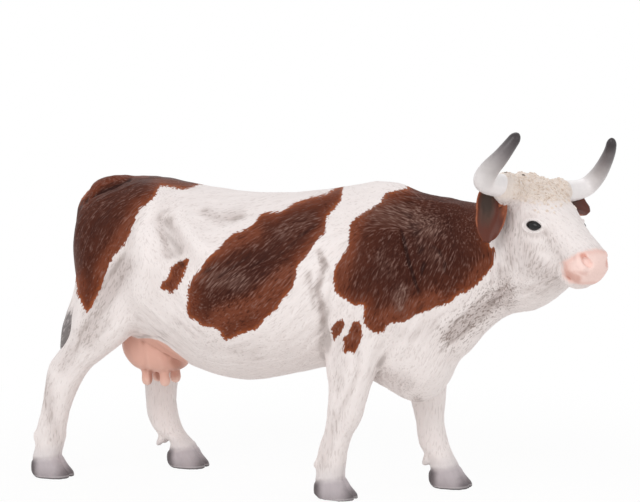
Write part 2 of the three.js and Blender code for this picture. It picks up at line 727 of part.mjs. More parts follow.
// Leg with its dewclaws, its toes parted by a cleft at the front and a shorter one at the heel.
function legBody(step, side, fore, grow = 0) {
  const rows = eased(legRows(step, side, fore), 2);
  const isOuter = (point, centre) => (point.y - centre.y) * side > 0 && point.z > kneeHeight;
  let body = solid(loft(rows.map((r, i) => {
    const centre = vec(r.x, r.y, r.z - (i === 0 ? grow : 0));
    const points = ring({
      centre,
      side: forward,
      up: sideways,
      half: r.depth / 2 + grow,
      above: r.width / 2 + grow,
      below: r.width / 2 + grow,
      crown: r.square,
      keel: r.square,
    }, legSides);
    return points.map((point) => (isOuter(point, centre) ? modelled(point, centre) : point));
  })));
  if (grow > 0) return body;
  const fetlockRear = step.fetlock - fetlockDepth / 2;
  for (const claw of [-1, 1]) {
    const y = side * hoofSpread + claw * dewclawSpread;
    const centre = vec(fetlockRear + dewclawRadius * 0.5, y, step.dewclawHeight);
    body = body.add(bulge(centre, vec(dewclawRadius, dewclawRadius, dewclawRadius * 1.3)));
  }
  const wall = hoofLength * 0.42;
  const front = new THREE.BoxGeometry(wall, hoofCleft, hoofHeight * 2.6);
  front.rotateY(radians(-33));
  front.translate(step.hoof + hoofLength / 2 - 0.4, side * hoofSpread, 0);
  const rear = new THREE.BoxGeometry(hoofLength * 0.3, hoofCleft, hoofHeight * 1.6);
  rear.translate(step.hoof - hoofLength / 2, side * hoofSpread, 0);
  return body.subtract(solid(front)).subtract(solid(rear));
}

// The joint face of a leg: its middle and the way its peg points.
function legJoint(side, fore, x) {
  const outer = fore ? foreJointOuter : hindJointOuter;
  const inner = fore ? foreJointInner : hindJointInner;
  const spread = fore ? forearmSpread : thighSpread + 1.2;
  const halfSpan = 4.5;
  const normal = vec(0, (-side * (outer - inner)) / 2, halfSpan).normalize();
  return { point: vec(x, side * spread, (outer + inner) / 2), normal };
}

// Udder with its root in the groin and four teats.
function udderBody(grow = 0) {
  const row = (z, length, width) => {
    const share = (z - udderHeight) / (groinHeight - udderHeight);
    return { z, length, width, x: mix(teatMiddleX, udderX, share) };
  };
  const rows = eased([
    row(groinHeight + udderRoot, udderLength * 0.86, udderWidth * 0.86),
    row(groinHeight - 0.8, udderLength, udderWidth),
    row(mix(udderHeight, groinHeight, 0.45), udderLength * 0.93, udderWidth * 0.97),
    row(mix(udderHeight, groinHeight, 0.15), udderLength * 0.76, udderWidth * 0.82),
    row(udderHeight, udderLength * 0.5, udderWidth * 0.5),
  ].reverse(), 2);
  let body = solid(loft(rows.map((r, i) => ring({
    centre: vec(r.x, 0, r.z + (i === rows.length - 1 ? grow : 0) - (i === 0 ? grow : 0)),
    side: forward,
    up: sideways,
    half: r.length / 2 + grow,
    above: r.width / 2 + grow,
    below: r.width / 2 + grow,
    crown: 2.3,
    keel: 2.3,
  }, udderSides))));
  for (const along of [-1, 1]) {
    for (const across of [-1, 1]) {
      const teat = new THREE.CapsuleGeometry(teatRadius + grow, teatReach + teatRoot, 2, 8);
      teat.rotateX(Math.PI / 2);
      const x = teatMiddleX + (along * teatSpacingAlong) / 2;
      const y = (across * teatSpacingAcross) / 2;
      teat.translate(x, y, udderHeight + teatRoot + teatRadius - (teatReach + teatRoot) / 2);
      body = body.add(solid(teat));
    }
  }
  return body;
}

// Tail: out of the tail head, down the rump and into a switch behind the right hock.
function tailBody(grow = 0) {
  const drop = tailHeadHeight - tailEndHeight;
  const curve = new THREE.CatmullRomCurve3([
    vec(rumpEndX + tailRootReach, 0, tailHeadHeight + tailRootRise),
    vec(rumpEndX + tailCrestReach, 0, tailHeadHeight + tailCrestRise),
    vec(rumpEndX - tailBendStandOff, tailSide * 0.1, tailHeadHeight + tailBendRise),
    vec(rumpEndX - tailStandOff, tailSide * 0.3, tailHeadHeight - drop * 0.2),
    vec(rumpEndX - tailStandOff * 0.8, tailSide * 0.6, tailHeadHeight - drop * 0.5),
    vec(rumpEndX - tailHockStandOff, tailSide * 0.9, tailHeadHeight - drop * 0.75),
    vec(rumpEndX - tailEndStandOff, tailSide * 1.1, tailEndHeight),
  ]);
  const radiusAt = (share) => {
    const swell = Math.exp(-(((share - 0.82) / 0.12) ** 2)) * (tailSwitchRadius - tailRadius * 0.8);
    const past = Math.max(0, (share - 0.88) / 0.12);
    return (tailRadius * mix(1.05, 0.8, share) + swell) * Math.sqrt(1.06 - past * past);
  };
  return taperedBody(curve, radiusAt, 22, tailSides, grow);
}

// Paints, as the finished figurine shows them.
const paints = {
  coat: new THREE.MeshStandardMaterial({ color: '#eee6de', roughness: 0.55, metalness: 0 }),
  horn: new THREE.MeshStandardMaterial({ color: '#b9b4b4', roughness: 0.35, metalness: 0 }),
  ear: new THREE.MeshStandardMaterial({ color: '#5c2e1e', roughness: 0.5, metalness: 0 }),
  udder: new THREE.MeshStandardMaterial({ color: '#d9a594', roughness: 0.5, metalness: 0 }),
  tail: new THREE.MeshStandardMaterial({ color: '#8b8684', roughness: 0.55, metalness: 0 }),
};

// A named mesh that stands at its own origin in its parent.
function piece(name, body, paint, origin) {
  const geometry = geometryOf(body);
  geometry.translate(-origin.x, -origin.y, -origin.z);
  const mesh = new THREE.Mesh(geometry, paint);
  mesh.name = name;
  mesh.position.copy(origin);
  return mesh;
}

const legs = [
  { name: 'leg_front_right', step: foreRightStep, side: -1, fore: true },
  { name: 'leg_front_left', step: foreLeftStep, side: 1, fore: true },
  { name: 'leg_hind_right', step: hindRightStep, side: -1, fore: false },
  { name: 'leg_hind_left', step: hindLeftStep, side: 1, fore: false },
];

function buildCow() {
  const cow = new THREE.Group();
  const frame = headFrame();
  const toHead = frame.matrix.clone().invert();
  const inBody = (body) => body.transform(frame.matrix.elements);
  const inHead = (body) => body.transform(toHead.elements);

  // The head joint stands square to the way the neck runs, just behind the ears.
  const headJoint = vec(pollX - 3.6, pollY + 1.4, (crestEndHeight + throatUnder) / 2);
  const headWay = vec(Math.cos(radians(headTurn - 4)), -Math.sin(radians(headTurn - 4)), 0);
  const aheadOfJoint = beyond(headJoint, headWay);
  const headClay = inBody(headBody()).add(neckBody());
  const headSolid = headClay.intersect(beyond(headJoint, headWay, seatGap));
  const back = headWay.clone().negate();

  let torso = trunkBody().add(neckBody()).add(inBody(headBody())).subtract(aheadOfJoint);
  torso = torso.subtract(peg(headJoint, back, headPegRadius, headPegLength, seatGap));
  let head = headSolid.add(peg(headJoint, back, headPegRadius, headPegLength));

  const trunkClear = trunkBody(seatGap);
  const limbs = [];
  for (const leg of legs) {
    const clay = legBody(leg.step, leg.side, leg.fore);
    const x = leg.fore ? mix(leg.step.knee, leg.step.elbow, 0.5) : mix(leg.step.hock, leg.step.gaskin, 0.6);
    const { point, normal } = legJoint(leg.side, leg.fore, x);
    torso = torso.add(clay.intersect(beyond(point, normal)));
    leg.peg = peg(point, normal, legPegRadius, legPegLength);
    leg.socket = peg(point, normal, legPegRadius, legPegLength, seatGap);
    leg.body = clay.subtract(beyond(point, normal, -seatGap)).subtract(trunkClear).add(leg.peg);
    limbs.push(leg);
  }
  for (const leg of limbs) torso = torso.subtract(leg.socket);

  const tail = tailBody();
  const tailClear = tailBody(seatGap);
  const udderClear = udderBody(seatGap);
  torso = torso.subtract(tailClear).subtract(udderClear);
  let udder = udderBody();
  for (const leg of limbs) {
    leg.body = leg.body.subtract(tailClear);
    if (!leg.fore) udder = udder.subtract(legBody(leg.step, leg.side, leg.fore, seatGap));
  }

  head = inHead(head);
  for (const side of [-1, 1]) {
    head = head.subtract(hornBody(side, seatGap)).subtract(earBody(side, seatGap));
  }

  cow.add(piece('torso', torso, paints.coat, vec(0, 0, (backHeight + bellyHeight) / 2)));
  for (const leg of limbs) {
    cow.add(piece(leg.name, leg.body, paints.coat, vec(leg.step.hoof, leg.side * hoofSpread, 0)));
  }
  cow.add(piece('udder', udder, paints.udder, vec(udderX, 0, udderHeight)));
  cow.add(piece('tail', tail, paints.tail, vec(rumpEndX, 0, tailHeadHeight)));

  frame.add(piece('head', head, paints.coat, vec(0, 0, 0)));
  for (const [word, side] of [['right', -1], ['left', 1]]) {
    frame.add(piece('horn_' + word, hornBody(side), paints.horn, vec(0, side * hornRootSpread, 0)));
    const ear = earBody(side).subtract(hornBody(side, seatGap));
    frame.add(piece('ear_' + word, ear, paints.ear, vec(0, side * foreheadHalf, 0)));
  }
  cow.add(frame);
  return cow;
}

// The origin goes under the middle of the whole figurine.
const cow = buildCow();
cow.updateMatrixWorld(true);
const bounds = new THREE.Box3().setFromObject(cow, true);
cow.position.set(-(bounds.min.x + bounds.max.x) / 2, -(bounds.min.y + bounds.max.y) / 2, -bounds.min.z);
export default cow;
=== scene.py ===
"""Hand-painted figurine of a horned cow: its moulded skin, horns, ears, eyes, curls and paint."""

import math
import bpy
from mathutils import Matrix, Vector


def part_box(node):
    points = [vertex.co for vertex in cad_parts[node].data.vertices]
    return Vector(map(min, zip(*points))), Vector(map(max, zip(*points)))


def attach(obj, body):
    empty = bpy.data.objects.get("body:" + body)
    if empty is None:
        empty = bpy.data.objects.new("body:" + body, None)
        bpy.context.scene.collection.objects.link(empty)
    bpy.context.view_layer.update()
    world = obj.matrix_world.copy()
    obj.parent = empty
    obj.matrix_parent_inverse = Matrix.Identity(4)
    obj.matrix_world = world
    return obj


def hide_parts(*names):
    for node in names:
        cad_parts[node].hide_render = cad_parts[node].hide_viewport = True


bl_info = {
    "name": "Painted cow figurine",
    "version": (1, 0, 0),
    "blender": (4, 5, 0),
    "location": "3D View > Sidebar > Cow",
    "description": "Builds the moulded skin, the horns and the hand paint of a solid plastic cow",
    "category": "Add Mesh",
}

import bmesh
import bpy
import numpy as np
from bpy.props import FloatProperty, FloatVectorProperty, IntProperty, PointerProperty
from bpy.types import Operator, Panel, PropertyGroup
from mathutils import Matrix, Vector
from mathutils.bvhtree import BVHTree

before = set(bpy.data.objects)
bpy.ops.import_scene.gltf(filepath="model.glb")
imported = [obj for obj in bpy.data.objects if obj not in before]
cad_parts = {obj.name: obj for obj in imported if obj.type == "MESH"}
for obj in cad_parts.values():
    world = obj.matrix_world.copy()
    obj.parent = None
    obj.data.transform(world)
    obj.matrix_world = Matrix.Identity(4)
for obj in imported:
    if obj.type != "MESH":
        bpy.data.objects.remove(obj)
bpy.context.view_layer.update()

MM = 0.001
BODY = "root"

SIDES = {"right": -1, "left": 1}

# The body's datum is on the ground under the trunk's middle line. All shapes are measured from it, in mm.
# The fore legs mirror each other, and the rearmost hoof ends at a known distance behind the datum.
REAR_END = -51.165
FORE_RIGHT, FORE_LEFT = (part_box("leg_front_" + word) for word in SIDES)
HIND_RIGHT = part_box("leg_hind_right")
DATUM = np.array(
    [HIND_RIGHT[0][0] / MM - REAR_END, (FORE_RIGHT[0][1] + FORE_LEFT[1][1]) / 2 / MM, 0.0]
)

# The head's pose on the neck, in mm and degrees
POLL = (63.3, -4.0, 71.6)
HEAD_TURN = 24
HEAD_NOD = 37
HEAD_TILT = 6

# The quarter from which the figurine is judged: turn and rise in degrees, distance and aim in mm
VIEW_TURN = 22
VIEW_RISE = 7
VIEW_DISTANCE = 700
VIEW_AIM = np.array([13.7, 0.0, 52.3])
VIEW_LENS = 180.3


def linear(code):
    """An sRGB hex colour as the linear RGBA that a shader takes."""
    parts = [int(code[i : i + 2], 16) / 255 for i in (1, 3, 5)]
    return (*[c / 12.92 if c <= 0.04045 else ((c + 0.055) / 1.055) ** 2.4 for c in parts], 1.0)


def node(tree, kind, inputs=None, **settings):
    """Adds a node to a tree, sets it up, and fills or links its inputs."""
    made = tree.nodes.new(kind)
    for key, value in settings.items():
        setattr(made, key, value)
    for socket, value in (inputs or {}).items():
        if isinstance(value, bpy.types.NodeSocket):
            tree.links.new(value, made.inputs[socket])
        else:
            made.inputs[socket].default_value = value
    return made


# Frames of reference


def head_rotation():
    """Turns the head's own axes (X to the nose, Y to its left, Z out of the forehead) to the body's."""
    turn = Matrix.Rotation(math.radians(-HEAD_TURN), 3, "Z")
    nod = Matrix.Rotation(math.radians(HEAD_NOD), 3, "Y")
    tilt = Matrix.Rotation(math.radians(-HEAD_TILT), 3, "X")
    return np.array(turn @ nod @ tilt)


def level_rotation():
    """Turns level head measures (ahead, aside, above the poll) to the body's axes."""
    return head_rotation() @ np.array(Matrix.Rotation(math.radians(-HEAD_NOD), 3, "Y"))


def from_level(points):
    """Level head measures as places in the body."""
    return np.asarray(points, float) @ level_rotation().T + POLL


def to_level(points):
    """Places in the body as level head measures."""
    return (points - POLL) @ level_rotation()


def view_axes():
    """Towards the viewer, to the viewer's right, and up."""
    turn, rise = math.radians(VIEW_TURN), math.radians(VIEW_RISE)
    flat = math.cos(rise)
    back = np.array([math.sin(turn) * flat, -math.cos(turn) * flat, math.sin(rise)])
    right = np.array([math.cos(turn), math.sin(turn), 0.0])
    return back, right, np.cross(right, -back)


def quarter(points):
    """Along and up, in mm, as the judging quarter sees each point. The far half folds onto the near one."""
    back, right, up = view_axes()
    seen = points.copy()
    seen[:, 1] = -abs(seen[:, 1])
    seen -= VIEW_AIM
    scale = VIEW_DISTANCE / (VIEW_DISTANCE - seen @ back)
    return np.stack((seen @ right * scale, seen @ up * scale), 1)


def smooth_step(low, high, value):
    """0 at low, 1 at high, eased between them."""
    t = np.clip((value - low) / (high - low), 0, 1)
    return t * t * (3 - 2 * t)


# Meshes


def add_object(name, mesh):
    """An object at the origin that holds the mesh."""
    obj = bpy.data.objects.new(name, mesh)
    bpy.context.scene.collection.objects.link(obj)
    return obj


def settled(obj):
    """The evaluated mesh of an object, which is then removed."""
    bpy.context.view_layer.update()
    graph = bpy.context.evaluated_depsgraph_get()
    mesh = bpy.data.meshes.new_from_object(obj.evaluated_get(graph))
    bpy.data.objects.remove(obj)
    return mesh


def points_of(mesh):
    """The mesh's points as an array."""
    flat = np.empty(3 * len(mesh.vertices), np.float32)
    mesh.vertices.foreach_get("co", flat)
    return flat.reshape(-1, 3).astype(float)


def move_points(mesh, points):
    """Puts the mesh's points there."""
    mesh.vertices.foreach_set("co", np.ascontiguousarray(points, np.float32).ravel())
    mesh.update()


def normals_of(mesh):
    """The mesh's outward direction at each point."""
    flat = np.empty(3 * len(mesh.vertices), np.float32)
    mesh.vertex_normals.foreach_get("vector", flat)
    return flat.reshape(-1, 3).astype(float)


def write_field(mesh, name, values):
    """Keeps one number at each point, for the paint to read."""
    layer = mesh.attributes.get(name) or mesh.attributes.new(name, "FLOAT", "POINT")
    layer.data.foreach_set("value", np.ascontiguousarray(values, np.float32))


def read_field(mesh, name):
    """The number kept at each point."""
    values = np.empty(len(mesh.vertices), np.float32)
    mesh.attributes[name].data.foreach_get("value", values)
    return values.astype(float)


class Net:
    """The neighbours of each point of a mesh, with those across each face where strokes must run true."""

    def __init__(self, mesh, across=False):
        ends = np.empty(2 * len(mesh.edges), np.int32)
        mesh.edges.foreach_get("vertices", ends)
        pairs = [ends.reshape(-1, 2)]
        if across:
            corners = np.empty(len(mesh.loops), np.int32)
            mesh.loops.foreach_get("vertex_index", corners)
            start = np.empty(len(mesh.polygons), np.int32)
            count = np.empty(len(mesh.polygons), np.int32)
            mesh.polygons.foreach_get("loop_start", start)
            mesh.polygons.foreach_get("loop_total", count)
            start = start[count == 4]
            pairs += [np.stack((corners[start + i], corners[start + i + 2]), 1) for i in (0, 1)]
        self.a, self.b = np.concatenate(pairs).T
        self.count = len(mesh.vertices)

    def mean(self, values, weight=None):
        """The mean over each point's neighbours."""
        w = np.ones(len(self.a)) if weight is None else weight
        total = np.bincount(self.a, w, self.count) + np.bincount(self.b, w, self.count)
        sums = [
            np.bincount(self.a, w * column[self.b], self.count)
            + np.bincount(self.b, w * column[self.a], self.count)
            for column in values.reshape(self.count, -1).T
        ]
        return (np.stack(sums, 1) / np.maximum(total, 1e-9)[:, None]).reshape(values.shape)

    def relax(self, values, strength, rounds, weight=None):
        """Draws each point's value towards its neighbours'."""
        for _ in range(rounds):
            values = values + strength * (self.mean(values, weight) - values)
        return values

    def melt(self, points, strength, rounds):
        """Melts facets and hard creases, and gives back what plain smoothing would shrink."""
        soft = self.relax(points, strength, rounds)
        return soft + self.relax(points - soft, strength, rounds)

    def comb(self, points, lie, seed, thickness, rounds):
        """Combed strokes along the lie of the hair, about -1 to 1.

        Thickness widens the strokes, and rounds lengthen them.
        """
        run = points[self.b] - points[self.a]
        run /= np.maximum(np.linalg.norm(run, axis=1), 1e-9)[:, None]
        along = np.einsum("ij,ij->i", run, lie[self.a])
        beside = np.einsum("ij,ij->i", run, lie[self.b])
        weight = (along**2 + beside**2) ** 4 + 1e-4
        strokes = np.random.default_rng(seed).uniform(-1, 1, self.count)
        strokes = self.relax(strokes, 0.5, thickness)
        strokes = self.relax(strokes, 0.7, rounds, weight)
        strokes -= self.relax(strokes, 0.6, 12 + 6 * thickness)
        return np.clip(strokes / (2.0 * strokes.std()), -1, 1)


HOOF_TOP = 9.0
ZONE_REACH = 3.0


def clay(nodes, swell, plugs=()):
    """The CAD nodes, grown by swell, and plugs as (centre, radii), in one rough mesh in mm from the datum."""
    whole = bmesh.new()
    for name in nodes:
        part = bmesh.new()
        part.from_mesh(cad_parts[name].data)
        bmesh.ops.remove_doubles(part, verts=part.verts, dist=1e-7)
        part.normal_update()
        places = [v.co / MM - Vector(DATUM) for v in part.verts]
        places = [p + v.normal * swell * (p.z > HOOF_TOP) for v, p in zip(part.verts, places)]
        for v, place in zip(part.verts, places):
            v.co = place
        mesh = bpy.data.meshes.new(name + "_clay")
        part.to_mesh(mesh)
        part.free()
        whole.from_mesh(mesh)
        bpy.data.meshes.remove(mesh)
    for centre, radii in plugs:
        shape = Matrix.Translation(centre) @ Matrix.Diagonal((*radii, 1))
        bmesh.ops.create_icosphere(whole, subdivisions=3, radius=1, matrix=shape)
    mesh = bpy.data.meshes.new("clay")
    whole.to_mesh(mesh)
    whole.free()
    return mesh


def remeshed(mesh, voxel):
    """One even skin round the rough mesh, its largest shell only."""
    obj = add_object("skin", mesh)
    remesh = obj.modifiers.new("skin", "REMESH")
    remesh.mode = "VOXEL"
    remesh.voxel_size = voxel
    skin = settled(obj)
    net = Net(skin)
    shell = np.arange(net.count)
    while True:
        low = np.minimum(shell[net.a], shell[net.b])
        before = shell.copy()
        np.minimum.at(shell, net.a, low)
        np.minimum.at(shell, net.b, low)
        shell = shell[shell]
        if (shell == before).all():
            break
    largest = np.bincount(shell).argmax()
    if (shell != largest).any():
        bm = bmesh.new()
        bm.from_mesh(skin)
        bm.verts.ensure_lookup_table()
        stray = [bm.verts[i] for i in np.flatnonzero(shell != largest)]
        bmesh.ops.delete(bm, geom=stray, context="VERTS")
        bm.to_mesh(skin)
        bm.free()
    return skin


def refined(mesh, chosen):
    """Cuts the chosen points' faces in four."""
    bm = bmesh.new()
    bm.from_mesh(mesh)
    edges = [e for e in bm.edges if chosen[e.verts[0].index] and chosen[e.verts[1].index]]
    bmesh.ops.subdivide_edges(bm, edges=edges, cuts=1, use_grid_fill=True)
    bm.to_mesh(mesh)
    bm.free()


def to_row(mesh):
    """Moves a mesh from mm about the datum to metres in the row frame."""
    move_points(mesh, (points_of(mesh) + DATUM) * MM)


def finish_piece(name, mesh, material, replaced=()):
    """Makes a piece of the mesh with its paint, hangs it on its body, and hides the CAD nodes it stands for.
    """
    obj = add_object(name, mesh)
    mesh.materials.clear()
    mesh.materials.append(material)
    mesh.polygons.foreach_set("use_smooth", [True] * len(mesh.polygons))
    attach(obj, BODY)
    if replaced:
        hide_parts(*replaced)


# Coat: where the brown patches lie, in mm along and up in the judging quarter

NEAR_PATCHES = {
    "rump": [
        (-50.5, 13.5), (-48.5, 18), (-39.5, 19), (-33, 18), (-26, 15.5), (-29, 13.5), (-33, 14), (-35, 14),
        (-36, 12), (-37.5, 10.5), (-39.5, 9), (-40.5, 6.5), (-41.5, 4), (-43, 1), (-45, -1), (-46.5, -4),
        (-47.5, -7), (-48.5, -9.5), (-50, -12.5), (-51, -13.5), (-51.5, -12.5), (-53, -9.5), (-53.5, -6.5),
        (-56, -2.5), (-57, 4.5), (-55, 9),
    ],
    "flank strip": [
        (-29, -1.5), (-28.5, -2), (-29.5, -4.5), (-30.5, -7), (-32, -9), (-32.5, -9.5), (-33.5, -8.5),
        (-34.5, -8.5), (-35, -8), (-34, -6.5), (-33, -5.5), (-32.5, -3.5), (-31, -2.5),
    ],
    "barrel": [
        (6, 16.5), (5, 13.5), (4.5, 11), (3, 9), (1.5, 7), (1, 4), (-0.5, 2.5), (-3, -1), (-5, -4), (-6, -8),
        (-8, -10.5), (-9.5, -12.5), (-12, -15), (-14, -17), (-17, -18), (-20.5, -19.5), (-22.5, -17),
        (-25.5, -16.5), (-27.5, -15), (-29, -14), (-29, -10.5), (-28.5, -7), (-26.5, -4.5), (-24.5, -1.5),
        (-22, 0.5), (-20.5, 2.5), (-18.5, 4), (-16.5, 4.5), (-14.5, 6), (-13, 8), (-10, 8.5), (-8, 9),
        (-5.5, 10.5), (-2.5, 11.5), (1, 12.5), (4.5, 14.5),
    ],
    "neck": [
        (14.2, 12.6), (17.5, 13.4), (20, 14.2), (22, 16), (26, 16), (33.5, 13), (36.2, 11), (37, 1.5),
        (38, 0.5), (38, -2.5), (36.5, -5), (33.5, -8), (30.5, -9.5), (28, -11.5), (24.5, -12.5),
        (20, -14.5), (18, -15.5), (15, -16), (14, -17.5), (12, -18), (10.5, -17), (9.5, -15), (9.5, -12),
        (7.5, -12), (5.5, -10.5),
        (3.5, -9), (3, -6.5), (3, -4.5), (4.5, -1.5), (6, 1), (6.5, 4.5), (7, 6.5), (10.5, 9), (13, 10.5),
        (14, 12),
    ],
    "elbow spot": [
        (4.8, -15), (5.2, -16), (5, -17), (3.5, -19), (3, -19.5), (2.5, -18), (2.5, -17), (3.5, -15.5),
    ],
    "forearm spot": [
        (7, -15.5), (8.5, -15.5), (9, -16.5), (9.3, -18), (9, -19.5), (8.5, -21), (7.5, -22.5),
        (6.5, -22), (5.5, -22.3), (5, -21.5), (5.2, -20.5), (5, -19), (6, -18.5), (6.5, -17),
    ],
}
FAR_PATCHES = {
    "rump": [
        (-50, 13), (-48, 18), (-39, 19), (-31, 18), (-27, 15.5), (-27, 12), (-29, 9.5), (-33, 8), (-35, 4),
        (-37, 0), (-41, -2), (-43, -6), (-46, -8), (-48, -12), (-52, -11), (-56, -4), (-57, 4), (-55, 9),
    ],
    "barrel": [
        (5.5, 17), (4, 11), (1, 6), (-3, 4), (-4, -1), (-9, -4), (-11, -9), (-15, -12), (-20, -11),
        (-25, -13), (-27, -9), (-25, -4), (-20, -2), (-19, 2), (-14, 4), (-10, 7), (-5, 9), (0, 12),
        (3.5, 15),
    ],
    "neck": [
        (14, 12.5), (18, 13.8), (22, 16), (26, 16), (33, 13.5), (40, 12), (41, 4), (39, -3), (35, -9),
        (30, -12), (25, -11), (21, -15), (16, -17), (12, -14), (10, -9), (6, -7), (5, -2), (8, 3), (8, 7),
        (11, 10),
    ],
    "belly spot": [(-8, -13), (-5, -14), (-4, -17), (-7, -19), (-10, -17.5), (-10, -15)],
}


def rounded(outline, steps=4):
    """A closed outline with its corners eased, as a brush would paint it."""
    p = np.asarray(outline, float)
    before, after, beyond = np.roll(p, 1, 0), np.roll(p, -1, 0), np.roll(p, -2, 0)
    parts = []
    for t in np.arange(steps) / steps:
        parts.append(
            p
            + 0.5 * t * (after - before)
            + t * t * (before - 2.5 * p + 2 * after - 0.5 * beyond)
            + t**3 * (1.5 * (p - after) + 0.5 * (beyond - before))
        )
    return np.stack(parts, 1).reshape(-1, 2)


def inside_distance(places, outline):
    """How far each place lies inside a closed outline, in mm. Outside is negative."""
    start, end = outline, np.roll(outline, -1, 0)
    nearest = np.full(len(places), 1e9)
    inside = np.zeros(len(places), bool)
    for a, b in zip(start, end):
        run = b - a
        off = places - a
        t = np.clip(off @ run / max(run @ run, 1e-9), 0, 1)
        nearest = np.minimum(nearest, ((off - t[:, None] * run) ** 2).sum(1))
        crosses = (a[1] > places[:, 1]) != (b[1] > places[:, 1])
        if abs(run[1]) > 1e-9:
            inside ^= crosses & (places[:, 0] < a[0] + run[0] * (places[:, 1] - a[1]) / run[1])
    return np.where(inside, 1, -1) * np.sqrt(nearest)


def line_distance(places, line):
    """How far each place lies from an open line, in mm, and how far along the line that is, 0 to 1."""
    line = np.asarray(line, float)
    nearest = np.full(len(places), 1e9)
    share = np.zeros(len(places))
    count = len(line) - 1
    for i, (a, b) in enumerate(zip(line[:-1], line[1:])):
        run = b - a
        t = np.clip((places - a) @ run / max(run @ run, 1e-9), 0, 1)
        gap = ((places - a - t[:, None] * run) ** 2).sum(1)
        closer = gap < nearest
        nearest = np.where(closer, gap, nearest)
        share = np.where(closer, (i + t) / count, share)
    return np.sqrt(nearest), share


BACK_SEAM = 1.5
INNER_LEG_TOP = 45
INNER_LEG_FRONT = -38


def patch_field(points, normals):
    """How far inside the brown paint each point lies, in mm. The legs' inner sides stay white."""
    near = points[:, 1] < 0
    flat = quarter(points)
    fields = []
    for patches in (NEAR_PATCHES, FAR_PATCHES):
        fields.append(np.max([inside_distance(flat, rounded(p)) for p in patches.values()], axis=0))
    field = np.where(near, fields[0], fields[1])
    seam = smooth_step(-BACK_SEAM, BACK_SEAM, points[:, 1])
    field = np.where(abs(points[:, 1]) < BACK_SEAM, fields[0] * (1 - seam) + fields[1] * seam, field)
    faces_in = normals[:, 1] * np.sign(points[:, 1]) < -0.35
    hidden = faces_in & (points[:, 2] < INNER_LEG_TOP) & (points[:, 0] > INNER_LEG_FRONT)
    return np.where(hidden, np.minimum(field, -2), field)


# Coat: the lie of the hair, as (along, up, slope in degrees) in the judging quarter

HAIR_LIE = [
    (-48, 2, 58), (-37, 10, 50), (-46, -8.5, 60), (-53.5, -22, 55), (-22, 10, -8), (-4.5, 11, 12),
    (-17.5, -6, 42), (-6.5, 2.5, 38), (-17.5, -22, 30), (-34, -18, -35), (-33, 2.5, -60), (-2, -10.5, 50),
    (6.5, 11, -14), (22, 11, -22), (11, -4, 60), (8.5, -10.5, 64), (5.5, -17, 72), (5.5, -26, 76),
    (26, 0, 62), (33, 2.5, -70), (35, -5, 78), (30.5, -15, 56), (39.5, -10.5, 52), (23, -26, 75),
    (26, -29, 60), (22, -17, 60), (43.5, -9.5, 40), (42.5, -1, -80), (48, -2.5, 60), (42, 8, 85),
    (49, 10, -50), (55.5, 3.5, -55), (59, -2.5, -40), (-57, -38, 85), (-31, -38, 85), (5, -40, 85),
    (27, -38, 95), (-50, 14, 20), (-40, 15, 5),
]


def lie_slope(flat):
    """The slope of the hair at places of the judging quarter, eased between those given."""
    lean = np.zeros((len(flat), 2))
    for along, up, slope in HAIR_LIE:
        far = ((flat - (along, up)) ** 2).sum(1)
        angle = math.radians(2 * slope)
        lean += (1 / (far + 4.0) ** 2)[:, None] * (math.cos(angle), math.sin(angle))
    return np.arctan2(lean[:, 1], lean[:, 0]) / 2


def hair_lie(points, normals):
    """The direction in which the hair is combed at each point, along the skin."""
    slope = lie_slope(quarter(points))
    _, right, up = view_axes()
    side = np.where(points[:, 1] < 0, 1, -1)
    ahead = np.stack([np.full(len(points), right[0]), right[1] * side, np.zeros(len(points))], 1)
    lie = np.cos(slope)[:, None] * ahead + np.sin(slope)[:, None] * up
    lie -= np.einsum("ij,ij->i", lie, normals)[:, None] * normals
    return lie / np.maximum(np.linalg.norm(lie, axis=1), 1e-6)[:, None]


# Lines in the judging quarter, in mm, along which the skin folds and the paint changes
ELBOW_FOLD = [(-0.2, -0.2), (1.1, -3.3), (0, -6.3), (-0.7, -8.5), (0.2, -11.6), (0.7, -15.5)]
ELBOW_CREASE = [(0.7, -12), (0.9, -16), (1.1, -21.5)]
CHEST_CREASE = [(11.8, -28.2), (13.1, -25.1), (14.2, -23)]
FOREARM_CLEFT = [(8.4, -22), (8.2, -27), (6, -32), (3.2, -38), (1.8, -44)]
THROAT_GROOVE = [(28.5, -18.6), (31, -16.6), (34.5, -13.8), (39.3, -9.4)]
PIN_CREASE = [(-51.6, 10.8), (-50.4, 12.4), (-48, 13.9), (-45, 15.1), (-41.5, 15.9)]
FLANK_EDGE = [(-38.2, -19), (-35.4, -19.4), (-33.2, -20.7), (-31, -22.5), (-28.8, -24.2)]
